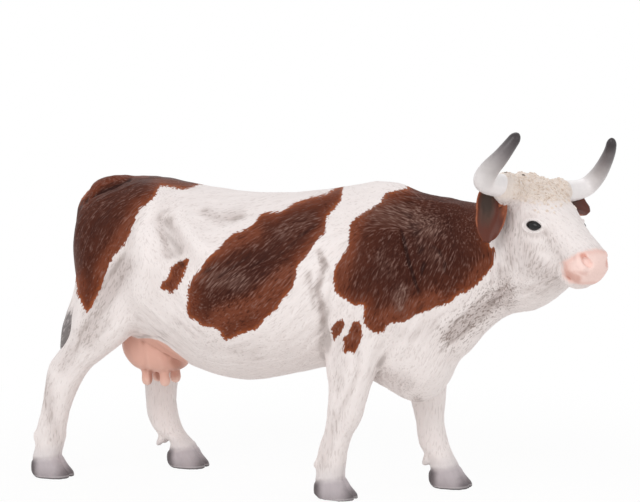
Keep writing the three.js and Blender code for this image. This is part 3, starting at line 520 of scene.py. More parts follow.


# Painted shade: grey-brown on the white in hollows and creases, as (line, half width, strength), in the
# camera's quarter

SHADE_WASHES = [
    ([(-34.5, 7), (-34.2, 3), (-33.5, -1)], 1.3, 0.55),
    ([(-33.6, 7.5), (-31.7, 4.1), (-29.7, 0.4)], 1.8, 0.3),
    ([(-43, -3.5), (-45, -7), (-47.5, -11)], 2.6, 0.9),
    ([(-48, -12), (-51, -19)], 3.0, 0.75),
    ([(-36.9, -16.9), (-33.6, -18.6)], 0.8, 0.35),
    ([(-31, -16), (-23, -20), (-14, -22.5)], 2.6, 0.3),
    ([(-25, 8.6), (-21.5, 7), (-17.5, 8)], 1.5, 0.6),
    ([(-38, 11), (-40, 6), (-42, 1)], 1.2, 0.3),
    ([(-52, -19), (-56, -25)], 2.2, 0.5),
    ([(-60, -28), (-58, -41)], 1.8, 0.5),
    ([(-30, -27), (-31, -42)], 1.8, 0.4),
    ([(40.9, -8.8), (33.5, -14.3), (28.5, -18.5)], 2.0, 1.0),
    ([(40, -4.5), (41, -11)], 2.0, 0.6),
    ([(43.5, 1), (46, -3), (50, -5.5)], 3.4, 0.65),
    ([(41, 9), (41.3, 3), (42, -2)], 2.2, 0.7),
    ([(50, 3), (53, -2)], 2.2, 0.5),
    ([(44, -8), (49, -9)], 1.6, 0.4),
    (ELBOW_FOLD, 0.9, 0.8),
    ([(-2.5, -5), (-1.2, -12)], 1.0, 0.5),
    (ELBOW_CREASE, 1.2, 0.45),
    (CHEST_CREASE, 1.2, 0.35),
    ([(12.5, -27.5), (15, -27), (19, -29)], 2.4, 0.45),
    ([(16, -17), (20, -18.5), (25, -16)], 2.0, 0.3),
    ([(4.5, -20), (4.2, -30)], 1.6, 0.4),
    (FOREARM_CLEFT, 0.9, 0.4),
    ([(3.5, -36), (0.5, -47)], 1.6, 0.4),
    ([(21.5, -33), (24, -40), (25, -47)], 1.3, 0.9),
    ([(29, -36), (29, -46)], 1.2, 0.3),
    ([(-37.5, -29), (-36, -36), (-35, -42)], 1.2, 0.8),
]
# Where the brown's painted highlights, the warmth of thinner brown paint and the pinks' painted shade lie
PAINTED_SHEENS = [
    ([(-24, -6), (-18, -6.5)], 3.0, 0.8),
    ([(12, 9), (18, 8), (24, 5)], 3.2, 1.0),
    ([(22, 2), (26, -2)], 2.0, 0.5),
    ([(-8, 4), (-3, 7)], 2.2, 0.6),
    ([(17.9, -8.5), (17.5, -12)], 1.7, 1.0),
    ([(13, -1), (15, -5)], 2.0, 0.5),
]
WARMTHS = [
    ([(-21.5, -14.5), (-14, -11.5), (-7, -5.5)], 2.8, 1.0),
    ([(-22, 0.5), (-14, 4)], 2.0, 0.8),
    ([(-4, -2), (1.5, 6)], 1.5, 0.7),
    ([(11.5, -15.5), (17, -13.5), (25, -10.5)], 2.3, 1.0),
    ([(8, 7), (6, 1), (5, -7)], 2.3, 0.7),
    ([(33, -6.5), (36.5, -2)], 1.8, 0.7),
    ([(-38, 10), (-43, 4), (-47.5, -5)], 1.9, 0.9),
    ([(3.5, -17), (7, -19)], 3.0, 0.8),
    ([(-31, -6), (-33, -7)], 2.5, 0.5),
]
# Painted shade on the pinks: the udder's shaded side, the gap between its teats and the muzzle's side
PINK_SHADES = [
    ([(-31.8, -24), (-30.4, -26.2)], 1.5, 0.9),
    ([(-37, -26.4), (-36.6, -29)], 0.6, 0.9),
    ([(52.7, -2.4), (53.2, -4.8), (56.2, -6)], 1.1, 0.9),
    ([(55.5, -4.6), (58, -5)], 0.7, 0.5),
]


def brushed(points, strokes):
    """How strongly soft brush strokes cover each point, 0 to 1."""
    flat = quarter(points)
    cover = np.zeros(len(points))
    for line, width, strength in strokes:
        cover = np.maximum(cover, strength * np.exp(-((line_distance(flat, line)[0] / width) ** 2)))
    return cover


# Skin: muscles, hollows and folds as (line, half width, rise), in mm in the judging quarter

FORMS = {
    "hip hollow": ([(-33.6, 8.1), (-32.8, 3.3), (-31, -1.5)], 3, -0.9),
    "hip bone": ([(-38, 12.9), (-36.7, 11.1)], 3, 0.7),
    "hip ridge": ([(-32.3, 9), (-29, 3.6), (-25, -1)], 2, 0.55),
    "thigh front": ([(-37.1, 6.3), (-38, -2.4), (-40.6, -14.2)], 3, 0.7),
    "thigh hollow": ([(-42.4, 0.7), (-44.8, -5.2), (-47.2, -11.6)], 2.4, -0.55),
    "flank fold": ([(-39.3, -18.1), (-34.9, -19.4), (-30.1, -22.1)], 1.4, -0.35),
    "under flank": ([(-37.1, -11.8), (-32.3, -15.5), (-27.1, -19)], 2.4, 0.4),
    "hock cord groove": ([(-49.8, -17.2), (-52.8, -20.3), (-55.5, -24.2)], 1.4, -0.4),
    "rib hollow": ([(-23.6, -4.1), (-17.5, -2.8), (-10.5, -1.1), (-4.4, 1.7), (0.4, 7.6)], 3, -0.7),
    "rib swell": ([(-20.7, -9), (-14.2, -7.2), (-7.6, -4.1)], 4, 0.35),
    "upper rib swell": ([(-16, 3.5), (-10, 5.5), (-4, 8)], 2.5, 0.35),
    "loin crease": ([(-26.6, 8.3), (-23.1, 7.4), (-19.7, 7), (-17, 7.2)], 0.5, -0.22),
    "second loin crease": ([(-24.9, 6.6), (-21.4, 5.9), (-17.9, 6.1)], 0.5, -0.18),
    "elbow fold": (ELBOW_FOLD, 0.7, -0.5),
    "elbow crease": (ELBOW_CREASE, 1.6, -0.8),
    "second elbow fold": ([(-2.6, -6.1), (-1.7, -9), (-0.9, -11.6)], 0.55, -0.3),
    "third elbow fold": ([(1.7, -2.4), (2.4, -6.3), (1.7, -10.7), (2, -14.6)], 0.55, -0.3),
    "elbow roll": ([(-1.2, -1), (-1.8, -5), (-2, -12)], 1.2, 0.25),
    "neck fold": ([(17.7, 5), (18.6, 1.1), (19.4, -2.4), (20.5, -5.9), (21.4, -8.7)], 0.5, -0.5),
    "second neck fold": ([(22.5, -2.4), (22.1, -5.5)], 0.5, -0.3),
    "third neck fold": ([(27.5, -0.2), (28.8, -2.4), (29.5, -4.6)], 0.5, -0.25),
    "fourth neck fold": ([(24, 1.5), (25.8, 0.2), (27.1, -2.4), (27.5, -5.5)], 0.6, -0.3),
    "shoulder point": ([(17.9, -9.8), (17.7, -12)], 1.6, 0.5),
    "shoulder point crease": ([(16.6, -10), (17.8, -13), (19.2, -10)], 0.4, -0.3),
    "shoulder blade": ([(15.7, 12), (11.4, 7.6), (9.2, 2.4), (8.7, -3.7)], 2.8, 0.5),
    "blade hollow": ([(19.7, 6.3), (21.8, 2.4), (22.7, -2.4)], 2.6, -0.45),
    "chest crease": (CHEST_CREASE, 1.2, -0.25),
    "brisket": ([(22.7, -28.6), (24.5, -26.9)], 3.4, 0.4),
    "throat groove": (THROAT_GROOVE, 1.8, -0.4),
    "forearm muscle": ([(3.9, -21.6), (4.8, -27.3), (4.4, -31.7)], 1.5, 0.25),
    "forearm cleft": (FOREARM_CLEFT, 0.6, -0.16),
    "second forearm cleft": ([(5.2, -24), (4.2, -30), (2.8, -35)], 0.5, -0.2),
    "hind cord": ([(-56, -24), (-59, -31), (-60.5, -38)], 0.7, -0.25),
    "flank edge": ([(-41, -19.4), *FLANK_EDGE], 0.5, -0.4),
}


BELLY_TUCK = 1.0
BELLY_TUCK_AT = 9
BELLY_TUCK_REACH = 12
TAIL_HEAD_RISE = 0.5
TAIL_VALLEY = -0.9
TAIL_VALLEY_ASIDE = 4.6
PIN_CREASE_DEPTH = 0.75
PIN_CREASE_HALF = 0.55


def form_rise(points, normals):
    """How far the muscles and folds raise the skin at each point, in mm."""
    flat = quarter(points)
    outward = smooth_step(0.0, 0.45, normals[:, 1] * np.sign(points[:, 1]))
    rise = np.zeros(len(points))
    for line, width, height in FORMS.values():
        away, share = line_distance(flat, line)
        ends = 1.0 if len(line) < 3 else smooth_step(-0.2, 0.2, share) * smooth_step(1.2, 0.8, share)
        rise += height * np.exp(-((away / width) ** 2)) * ends
    rise *= outward
    # The belly is tucked up a little behind the elbows.
    under = smooth_step(0.2, 0.8, -normals[:, 2]) * smooth_step(40, 36, points[:, 2])
    rise -= BELLY_TUCK * under * np.exp(-(((points[:, 0] - BELLY_TUCK_AT) / BELLY_TUCK_REACH) ** 2))
    # The tail head stands up between two valleys, with a pin bone beyond each.
    behind = smooth_step(-30, -35, points[:, 0]) * smooth_step(0.2, 0.7, normals[:, 2])
    aside = abs(points[:, 1])
    ridge = TAIL_HEAD_RISE * np.exp(-((aside / 2.4) ** 2))
    valleys = TAIL_VALLEY * np.exp(-(((aside - TAIL_VALLEY_ASIDE) / 1.5) ** 2))
    rise += behind * (ridge + valleys)
    # A crease parts the near pin bone from the thigh.
    crease = line_distance(flat, PIN_CREASE)[0] / PIN_CREASE_HALF
    return rise - PIN_CREASE_DEPTH * np.exp(-(crease**2)) * (points[:, 1] < 0) * (points[:, 0] < -30)


UDDER_FOLDS = [
    ([(-38.8, -20), (-38.6, -23), (-38, -27)], 0.6, -0.25),
    ([(-33.5, -21), (-32.5, -27)], 0.9, -0.3),
]
# The skin below the flank edge that is painted as udder
UDDER_SKIRT = [(-40.3, -19.2), *FLANK_EDGE, (-28.8, -27), (-40.3, -27)]


def udder_rise(points):
    """How far the folds between the udder's quarters sink its skin at each point, in mm."""
    flat = quarter(points)
    return sum(h * np.exp(-((line_distance(flat, line)[0] / w) ** 2)) for line, w, h in UDDER_FOLDS)


# Face: features in level head measures (ahead, aside, above the poll), mirrored to both sides

EYE = (7.0, 7.2, -10.6)
EYE_RADII = (1.9, 1.15)
EYE_NOD = 4
EYE_SLIP = 1.9
NOSTRIL = [(18.3, 4.1, -15.9), (18.8, 3.7, -17), (19.4, 2.9, -17.6)]
NOSTRIL_WING = [(17.2, 4.7, -15.9), (17.5, 4.7, -17.4), (18.5, 4.1, -18.5)]
MOUTH_LINE = [(13, 4.7, -20.2), (15, 3.9, -20.9), (16.6, 2.4, -21.1), (17.2, 0, -21)]


def above_line(places, line):
    """How far each place lies above a line that runs left to right, in mm."""
    line = np.asarray(line, float)
    return places[:, 1] - np.interp(places[:, 0], line[:, 0], line[:, 1])


def nearest_on(places, line):
    """How far each place lies from an open line in space, in mm."""
    line = np.asarray(line, float)
    nearest = np.full(len(places), 1e9)
    for a, b in zip(line[:-1], line[1:]):
        run = b - a
        t = np.clip((places - a) @ run / max(run @ run, 1e-9), 0, 1)
        nearest = np.minimum(nearest, ((places - a - t[:, None] * run) ** 2).sum(1))
    return np.sqrt(nearest)


def face_rise(points):
    """How far eyelids, nostrils and the mouth raise the skin of the head at each point, in mm."""
    level = to_level(points)
    far_side = level[:, 1] > 0
    level[:, 1] = abs(level[:, 1])
    eye = (level - EYE)[:, [0, 2]]
    eye[:, 0] -= EYE_SLIP * far_side
    eye /= EYE_RADII
    ring = np.linalg.norm(eye, axis=1)
    beside = smooth_step(4.0, 5.5, level[:, 1])
    rise = beside * 0.5 * np.exp(-(((ring - 1.2) / 0.22) ** 2))
    rise -= beside * 0.3 * np.exp(-(((ring - 2.1) / 0.6) ** 2))
    wing = np.exp(-((nearest_on(level, NOSTRIL_WING) / 0.8) ** 2))
    hole = np.exp(-((nearest_on(level, NOSTRIL) / 0.6) ** 2))
    rise += (0.45 * wing - 1.0 * hole) * np.where(far_side, 0.35, 1.0)
    rise -= 0.3 * np.exp(-((nearest_on(level, MOUTH_LINE) / 0.35) ** 2))
    return rise


NECK_END = 56
HEAD_START = 61


def zone_head(points):
    """1 on the head and throat, 0 on the neck."""
    return smooth_step(NECK_END, HEAD_START, points[:, 0])


def zone_leg(points):
    """1 on the legs below the trunk, 0 on the trunk and brisket."""
    aside = smooth_step(5.0, 7.0, abs(points[:, 1]))
    return np.maximum(smooth_step(20.5, 17, points[:, 2]), aside * smooth_step(33, 25, points[:, 2]))


LEGS = {
    "leg_front_right": {"foot": (21.9, -11), "joint": (24.4, -10.4, 24.5), "outer": 27.5, "inner": 21.5},
    "leg_front_left": {"foot": (40.4, 11), "joint": (34.6, 10.4, 24.5), "outer": 27.5, "inner": 21.5},
    "leg_hind_right": {"foot": (-46.4, -11), "joint": (-38.7, -9.8, 28.75), "outer": 31, "inner": 26.5},
    "leg_hind_left": {"foot": (-23, 11), "joint": (-30.6, 9.8, 28.75), "outer": 31, "inner": 26.5},
}
HOOF_TOE = 4.8
HOOF_HEEL = 3.6
HAIR_LINE = 5.0
HAIR_LINE_DROP = 1.2
# Where the shanks bend forward, as (height, reach, shift of the back, shift of the front), in mm
LEG_BENDS = {
    "leg_hind_right": [(31, 4.5, 1.5, 0), (22, 6, 0.8, 0), (15, 4, 0.4, 0), (9, 1.8, 0.5, 0)],
    "leg_hind_left": [(12, 6, -1.3, -0.7), (6.3, 1.7, 1.4, 0)],
    "leg_front_right": [(23, 6, 0.5, 0.5), (16.5, 3.5, 0.3, 0.8), (7.7, 1.8, 0.4, 0)],
    "leg_front_left": [(10, 5, -1, -0.9), (17, 5, -0.5, -0.4), (6.4, 1.7, 0.8, 0)],
}
JOINT_HALF_SPAN = 4.5


def leg_bend(points, tail):
    """How far the legs' skin is drawn forward at each point, in mm. The tail stays where it is."""
    shift = np.zeros(len(points))
    for name, bends in LEG_BENDS.items():
        foot, joint = LEGS[name]["foot"], LEGS[name]["joint"]
        axis = foot[0] + (joint[0] - foot[0]) * np.clip(points[:, 2] / joint[2], 0, 1)
        beyond = points[:, 0] - axis
        by = smooth_step(3, 5, points[:, 1] * np.sign(foot[1])) * (abs(beyond) < 10)
        behind = smooth_step(2.5, -2.5, beyond)
        for height, reach, back, front in bends:
            near = np.exp(-(((points[:, 2] - height) / reach) ** 2))
            shift += by * near * (back * behind + front * (1 - behind))
    return shift * smooth_step(0.4, -0.4, tail)


def near_hoof(points, leg):
    """Whether each point belongs to the leg's foot."""
    x, y = leg["foot"]
    return (abs(points[:, 0] - x) < 8) & (abs(points[:, 1] - y) < 7) & (points[:, 2] < 12)


def hoof_field(points):
    """Height on each hoof from the sole, 0 to 1 at the hair line, which drops towards the heel."""
    field = np.full(len(points), 2.0)
    for leg in LEGS.values():
        x = leg["foot"][0]
        by = near_hoof(points, leg)
        back = np.clip((x + HOOF_TOE - points[:, 0]) / (2 * HOOF_TOE), 0, 1)
        line = HAIR_LINE - HAIR_LINE_DROP * back
        field = np.where(by, points[:, 2] / line, field)
    return field


def hoof_end(points):
    """How near each point of a hoof is to its toe or its heel, 0 in the middle to 1."""
    field = np.zeros(len(points))
    for leg in LEGS.values():
        x = leg["foot"][0]
        by = near_hoof(points, leg)
        ahead = points[:, 0] - x
        share = np.where(ahead > 0, ahead / HOOF_TOE, -ahead / HOOF_HEEL)
        field = np.where(by, np.clip(share, 0, 1.2), field)
    return field


def hoof_rise(points):
    """How far the groove at the hair line and the cleft between the toes sink each point, in mm."""
    rise = -0.16 * np.exp(-(((hoof_field(points) - 1.0) / 0.09) ** 2))
    for leg in LEGS.values():
        x, y = leg["foot"]
        by = (abs(points[:, 0] - x) < 8) & (abs(points[:, 1] - y) < 4) & (points[:, 2] < 8)
        ahead = smooth_step(0, 2.5, abs(points[:, 0] - x))
        rise -= by * ahead * 0.4 * np.exp(-(((points[:, 1] - y) / 0.45) ** 2))
    return rise


# The bare muzzle in level head measures: where it starts, how its edge leans back over the nose, its chin
MUZZLE_START = 11.9
MUZZLE_TOP = -17.6
MUZZLE_LEAN = 1.6
MUZZLE_BLEND = 6.5
CHIN = (-22.4, -20.6)


def muzzle_field(points):
    """1 on the bare pink of the muzzle, 0 on the hair, and in between on the chin."""
    level = to_level(points)
    ahead = level[:, 0] - MUZZLE_START - MUZZLE_LEAN * np.maximum(level[:, 2] - MUZZLE_TOP, 0)
    chin = smooth_step(*CHIN, level[:, 2])
    return smooth_step(0, MUZZLE_BLEND, ahead) * (0.15 + 0.85 * chin)


SKIN_NODES = ["torso", "head", "udder", "tail", *LEGS]
SKIN_SWELL = 0.17
# Balls of clay round the horns' roots, as (place in level head measures, radii)
ROOT_CLAY = [
    ((0.9, -7.0, -4.1), (2.7, 2.7, 2.7)),
    ((0.0, -7.6, -5.4), (2.2, 2.4, 2.2)),
    ((0.9, 7.0, -4.1), (2.7, 2.7, 2.7)),
    ((0.0, 7.6, -5.4), (2.2, 2.4, 2.2)),
    ((0.9, -9.3, -3.1), (3.3, 3.5, 3.2)),
    ((0.9, 8.4, -4.0), (3.1, 3.3, 3.1)),
]
# Where the throat's painted shade starts, where the poll turns cream and where the tail's brush turns grey
THROAT_START = 42
POLL_CREAM = (-7.5, -3.5)
BRUSH_HEIGHTS = (40, 32)
# How thick and how long the coat's strokes are combed, in rounds of relaxing
COARSE_STROKES = (6, 60)
FINE_STROKES = (1, 26)
# Rounds of melting for the whole body, and for the parts that are cut finer
BODY_MELT = 70
FINE_MELT = 6


def thin_zone(small):
    """1 on the udder and the tail, 0 on the rest."""
    return smooth_step(-1.0, 0.2, np.maximum(small["udder"], small["tail"]))


def moulded_skin(sizes):
    """One closed skin round the whole animal in mm, melted soft, with the udder's and the tail's fields."""
    plugs = [(from_level([place])[0], radii) for place, radii in ROOT_CLAY]
    skin = remeshed(clay(SKIN_NODES, SKIN_SWELL, plugs), sizes.grain / MM)
    points = points_of(skin)
    beside = ["torso", "leg_hind_right", "leg_hind_left"]
    net = Net(skin)
    small = {name: net.relax(zone_of(points, name, beside), 0.5, 6) for name in ("udder", "tail")}
    thin = thin_zone(small)
    toes = smooth_step(5.5, 3.5, points[:, 2])
    fetlock = smooth_step(4, 6, points[:, 2]) * smooth_step(13, 10.5, points[:, 2])
    leg = zone_leg(points) * (0.86 - 0.3 * fetlock)
    firm = np.max([zone_head(points) * 0.84, leg, thin * 0.9, toes * 0.95], axis=0)
    points = net.melt(points, (0.6 * (1 - firm))[:, None], BODY_MELT)
    points[:, 0] += leg_bend(points, small["tail"])
    move_points(skin, points)
    for name, zone in small.items():
        write_field(skin, name, zone)
    refined(skin, (zone_head(points) > 0.01) | (zone_leg(points) > 0.5) | (thin > 0.5))
    return skin


def body_skin(sizes):
    """The whole animal's skin in mm, with its muscles, folds and combed hair, and its paint fields."""
    skin = moulded_skin(sizes)
    points = points_of(skin)
    small = {name: read_field(skin, name) for name in ("udder", "tail")}
    thin = thin_zone(small)
    net = Net(skin, across=True)
    head = zone_head(points)
    fine = np.max([head, zone_leg(points), thin], axis=0)
    points = net.melt(points, (0.5 * fine)[:, None], FINE_MELT)
    move_points(skin, points)
    normals = normals_of(skin)
    udder = smooth_step(-0.5, 0.5, small["udder"])
    rise = form_rise(points, normals) * (1 - head) * (1 - thin) + face_rise(points) * head + hoof_rise(points)
    rise += udder_rise(points) * udder
    points = points + normals * (rise * sizes.relief)[:, None]
    points = net.relax(points, 0.3, 2)
    move_points(skin, points)
    normals = normals_of(skin)
    lie = hair_lie(points, normals)
    coarse = net.comb(points, lie, sizes.seed, *COARSE_STROKES)
    strokes = 0.45 * coarse + 0.75 * net.comb(points, lie, sizes.seed + 1, *FINE_STROKES)
    flat = quarter(points)
    # Painted shade: where the white is darkened grey-brown in its hollows and creases
    shade_wash = brushed(points, SHADE_WASHES)
    muzzle = muzzle_field(points) * head
    hoof = hoof_field(points)
    # The throat groove, where the paint darkens the hair strokes as painted shade
    throat = np.exp(-((line_distance(flat, THROAT_GROOVE)[0] / 5) ** 2)) * (points[:, 0] > THROAT_START)
    bare = np.max([smooth_step(0.05, 0.5, muzzle), smooth_step(1.3, 0.9, hoof), udder], axis=0)
    depth = sizes.hair / MM * (0.75 + 0.9 * shade_wash + 0.5 * throat) * (1 - 0.45 * fine) * (1 - 0.85 * bare)
    points = points + normals * (strokes * depth)[:, None]
    points[:, 2] = np.maximum(points[:, 2], 0)
    move_points(skin, points)
    broad = net.relax(points, 0.6, 25)
    level = to_level(points)
    level[:, 1] = abs(level[:, 1])
    slope = lie_slope(quarter(points))
    above_crease = smooth_step(-0.2, 0.3, above_line(flat, PIN_CREASE))
    fields = {
        "lie_c": np.cos(2 * slope),
        "lie_s": np.sin(2 * slope),
        "patch": patch_field(points, normals),
        "hair": strokes,
        # How far the skin sinks below its smoothed self: the paint darkens hollows as painted shade, and
        # lightens the udder's bulges as painted highlight
        "hollow": np.clip(np.einsum("ij,ij->i", broad - points, normals) / 0.25, -1, 1),
        "muzzle": muzzle,
        "nostril": np.exp(-((nearest_on(level, NOSTRIL) / 0.75) ** 2)),
        "shade_wash": shade_wash * (1 - bare),
        "painted_sheen": brushed(points, PAINTED_SHEENS),
        "warmth": brushed(points, WARMTHS),
        "pink_shade": brushed(points, PINK_SHADES),
        "skirt": np.where(points[:, 1] < 0, inside_distance(flat, np.array(UDDER_SKIRT)), -1),
        # Lighter brown on the pin bone above its crease, a painted highlight
        "rump": (line_distance(flat, PIN_CREASE)[0] < 4) * above_crease,
        "lips": np.exp(-((nearest_on(level, MOUTH_LINE) / 0.4) ** 2)),
        "poll": smooth_step(*POLL_CREAM, level[:, 2]) * head,
        "hoof": hoof,
        "hoof_end": hoof_end(points),
        "throat": throat * (1 - bare),
        "brush": smooth_step(*BRUSH_HEIGHTS, points[:, 2]),
    }
    for name, values in fields.items():
        write_field(skin, name, values)
    return skin


HEAD_JOINT = (59.7, -2.6, 52.9)
HEAD_JOINT_REACH = 40
TRUNK_JOINT = (7.5, 0.0, 45.0)
TRUNK_JOINT_REACH = 60
LEG_JOINT_REACH = 12
HEAD_WAY = (math.cos(math.radians(HEAD_TURN - 4)), -math.sin(math.radians(HEAD_TURN - 4)), 0.0)


class Faces:
    """A mesh's faces as arrays: the corners' points, each corner's face, and each face's middle."""

    def __init__(self, mesh):
        self.mesh, self.count = mesh, len(mesh.polygons)
        self.corners = np.empty(len(mesh.loops), np.int32)
        self.start = np.empty(self.count, np.int32)
        self.total = np.empty(self.count, np.int32)
        mesh.loops.foreach_get("vertex_index", self.corners)
        mesh.polygons.foreach_get("loop_start", self.start)
        mesh.polygons.foreach_get("loop_total", self.total)
        self.owner = np.repeat(np.arange(self.count), self.total)
        self.points = points_of(mesh)
        self.middles = self.mean(self.points)

    def mean(self, values):
        """The mean over each face's corners."""
        total = np.add.reduceat(values[self.corners], self.start)
        return total / (self.total[:, None] if values.ndim > 1 else self.total)

    def joined(self, seed, chosen):
        """The chosen faces that join up with the seed."""
        inside = chosen[self.owner]
        corners, owner = self.corners[inside], self.owner[inside]
        label = np.arange(len(self.points))
        while True:
            low = np.full(self.count, len(label))
            np.minimum.at(low, owner, label[corners])
            fresh = label.copy()
            np.minimum.at(fresh, corners, low[owner])
            fresh = fresh[fresh]
            if (fresh == label).all():
                return chosen & (low == low[seed])
            label = fresh

    def part(self, name, chosen):
        """The chosen faces as a mesh of their own, with its fields, closed where it was cut."""
        kept = np.flatnonzero(chosen)
        old, corners = np.unique(self.corners[chosen[self.owner]], return_inverse=True)
        mesh = bpy.data.meshes.new(name)
        mesh.vertices.add(len(old))
        mesh.loops.add(len(corners))
        mesh.polygons.add(len(kept))
        mesh.loops.foreach_set("vertex_index", corners.ravel().astype(np.int32))
        begin = np.concatenate(([0], np.cumsum(self.total[kept])[:-1])).astype(np.int32)
        mesh.polygons.foreach_set("loop_start", begin)
        move_points(mesh, self.points[old])
        for layer in self.mesh.attributes:
            if layer.domain == "POINT" and layer.data_type == "FLOAT":
                write_field(mesh, layer.name, read_field(self.mesh, layer.name)[old])
        bm = bmesh.new()
        bm.from_mesh(mesh)
        rims = [e for e in bm.edges if e.is_boundary]
        caps = bmesh.ops.holes_fill(bm, edges=rims, sides=0)["faces"]
        bmesh.ops.triangulate(bm, faces=caps)
        bmesh.ops.recalc_face_normals(bm, faces=bm.faces)
        bm.to_mesh(mesh)
        bm.free()
        mesh.update()
        return mesh


SHADES = ("shade_x", "shade_y", "shade_z")


def split_skin(skin):
    """Cuts the skin at the moulding's joints into named meshes, each closed and shaded as in the whole."""
    for name, column in zip(SHADES, normals_of(skin).T):
        write_field(skin, name, column)
    planes = {"head": (Vector(HEAD_JOINT), Vector(HEAD_WAY), HEAD_JOINT_REACH)}
    for name, leg in LEGS.items():
        side = math.copysign(1, leg["joint"][1])
        way = Vector((0, side * (leg["outer"] - leg["inner"]) / 2, -JOINT_HALF_SPAN)).normalized()
        planes[name] = (Vector(leg["joint"]), way, LEG_JOINT_REACH)
    planes["torso_rear"] = (Vector(TRUNK_JOINT), Vector((-1, 0, 0)), TRUNK_JOINT_REACH)
    bm = bmesh.new()
    bm.from_mesh(skin)
    for place, way, reach in planes.values():
        near = [f for f in bm.faces if (f.calc_center_median() - place).length < reach]
        around = {e for f in near for e in f.edges} | {v for f in near for v in f.verts}
        bmesh.ops.bisect_plane(bm, geom=[*near, *around], dist=1e-4, plane_co=place, plane_no=way)
    bm.to_mesh(skin)
    bm.free()
    faces = Faces(skin)
    owned, free = {}, np.ones(faces.count, bool)

    def take(name, seed, chosen):
        owned[name] = faces.joined(seed, chosen & free)
        free[owned[name]] = False

    for name in ("udder", "tail"):
        depth = faces.mean(read_field(skin, name))
        take(name, depth.argmax(), depth > 0)
    for name, (place, way, _) in planes.items():
        if name == "torso_rear":
            continue
        end = Vector(POLL) + way * 10 if name == "head" else Vector((*LEGS[name]["foot"], 0))
        seed = np.linalg.norm(faces.middles - np.array(end), axis=1).argmin()
        take(name, seed, (faces.middles - np.array(place)) @ np.array(way) > 0)
    behind = faces.middles[:, 0] < TRUNK_JOINT[0]
    owned["torso_rear"] = free & behind
    owned["torso_fore"] = free & ~behind
    meshes = {}
    for name, chosen in owned.items():
        mesh = faces.part(name + "_skin", chosen)
        shade = np.stack([read_field(mesh, axis) for axis in SHADES], 1)
        for axis in SHADES:
            mesh.attributes.remove(mesh.attributes[axis])
        to_row(mesh)
        mesh.polygons.foreach_set("use_smooth", [True] * len(mesh.polygons))
        mesh.normals_split_custom_set_from_vertices(shade.tolist())
        meshes[name] = mesh
    return meshes


def zone_of(points, name, others):
    """How much nearer each point is to one CAD node than to the others, in mm."""
    trees = {}
    for node_name in (name, *others):
        part = bmesh.new()
        part.from_mesh(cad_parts[node_name].data)
        trees[node_name] = BVHTree.FromBMesh(part)
        part.free()
    low, high = (np.array(corner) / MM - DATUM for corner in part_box(name))
    field = np.full(len(points), -ZONE_REACH)
    for i in np.flatnonzero(((points > low - ZONE_REACH) & (points < high + ZONE_REACH)).all(1)):
        place = Vector((points[i] + DATUM) * MM)
        gaps = [trees[node_name].find_nearest(place)[3] for node_name in (name, *others)]
        field[i] = (min(gaps[1:]) - gaps[0]) / MM
    return field


# Materials


def paint(name, base, layers, groove=0.0, **finish):
    """A hand-painted plastic. Layers are (colour, mask maker) in the order they were brushed on.

    A mask maker takes the tree and gives the socket that says where, and how thickly, its colour lies.
    Groove is the depth in mm of the finest combed strokes.
    """
    material = bpy.data.materials.new(name)
    material.use_nodes = True
    tree = material.node_tree
    shader = tree.nodes["Principled BSDF"]
    for key, value in finish.items():
        shader.inputs[key].default_value = value
    colour = node(tree, "ShaderNodeRGB").outputs[0]
    colour.default_value = base
    for over, mask in layers:
        blend = node(tree, "ShaderNodeMix", {0: mask(tree), 6: colour, 7: over}, data_type="RGBA")
        colour = blend.outputs[2]
    tree.links.new(colour, shader.inputs["Base Color"])
    if groove:
        combing = {"Height": combed(tree), "Distance": groove * MM, "Strength": 1.0}
        tree.links.new(node(tree, "ShaderNodeBump", combing).outputs[0], shader.inputs["Normal"])
    return material


STROKE_WAYS = 8
STROKE_LENGTH = 2.3
STROKE_WIDTH = 0.36


def combed(tree):
    """Fine combed strokes, 0 to 1: noise drawn out along the lie of the hair, blended over a fan of ways."""
    if "combed" in tree.nodes:
        return tree.nodes["combed"].outputs["Result"]
    # The far side is folded onto the near one, and the strokes lie in the plane of the judging quarter.
    place = node(tree, "ShaderNodeTexCoord").outputs["Object"]
    x, y, z = node(tree, "ShaderNodeSeparateXYZ", {0: place}).outputs
    y = node(tree, "ShaderNodeMath", {0: y}, operation="ABSOLUTE").outputs[0]
    place = node(tree, "ShaderNodeCombineXYZ", {0: x, 1: y, 2: z}).outputs[0]
    lie = [
        node(tree, "ShaderNodeAttribute", attribute_name=name).outputs["Fac"] for name in ("lie_c", "lie_s")
    ]
    total = weight = 0.0
    for i in range(STROKE_WAYS):
        way = math.pi * i / STROKE_WAYS
        drawn = node(
            tree,
            "ShaderNodeMapping",
            {
                "Vector": place,
                "Rotation": (0, -way, -math.radians(VIEW_TURN)),
                "Scale": (STROKE_LENGTH * MM, STROKE_WIDTH * MM, STROKE_WIDTH * MM),
            },
            vector_type="TEXTURE",
        ).outputs[0]
        noise = node(
            tree, "ShaderNodeTexNoise", {"Vector": drawn, "Scale": 1.0, "Detail": 1.0, "Roughness": 0.6}
        ).outputs["Fac"]
        part = node(
            tree, "ShaderNodeMath", {0: lie[0], 1: math.cos(2 * way)}, operation="MULTIPLY"
        ).outputs[0]
        part = node(
            tree, "ShaderNodeMath", {0: lie[1], 1: math.sin(2 * way), 2: part}, operation="MULTIPLY_ADD"
        ).outputs[0]
        share = node(
            tree,
            "ShaderNodeMapRange",
            {"Value": part, "From Min": math.cos(2 * math.pi / STROKE_WAYS), "From Max": 1.0},
            interpolation_type="SMOOTHSTEP",
        ).outputs[0]
        total = node(
            tree, "ShaderNodeMath", {0: share, 1: noise, 2: total}, operation="MULTIPLY_ADD"
        ).outputs[0]
        weight = node(tree, "ShaderNodeMath", {0: share, 1: weight}, operation="ADD").outputs[0]
    mean = node(tree, "ShaderNodeMath", {0: total, 1: weight}, operation="DIVIDE").outputs[0]
    return node(
        tree, "ShaderNodeMapRange", {"Value": mean, "From Min": 0.34, "From Max": 0.66}, name="combed"
    ).outputs["Result"]


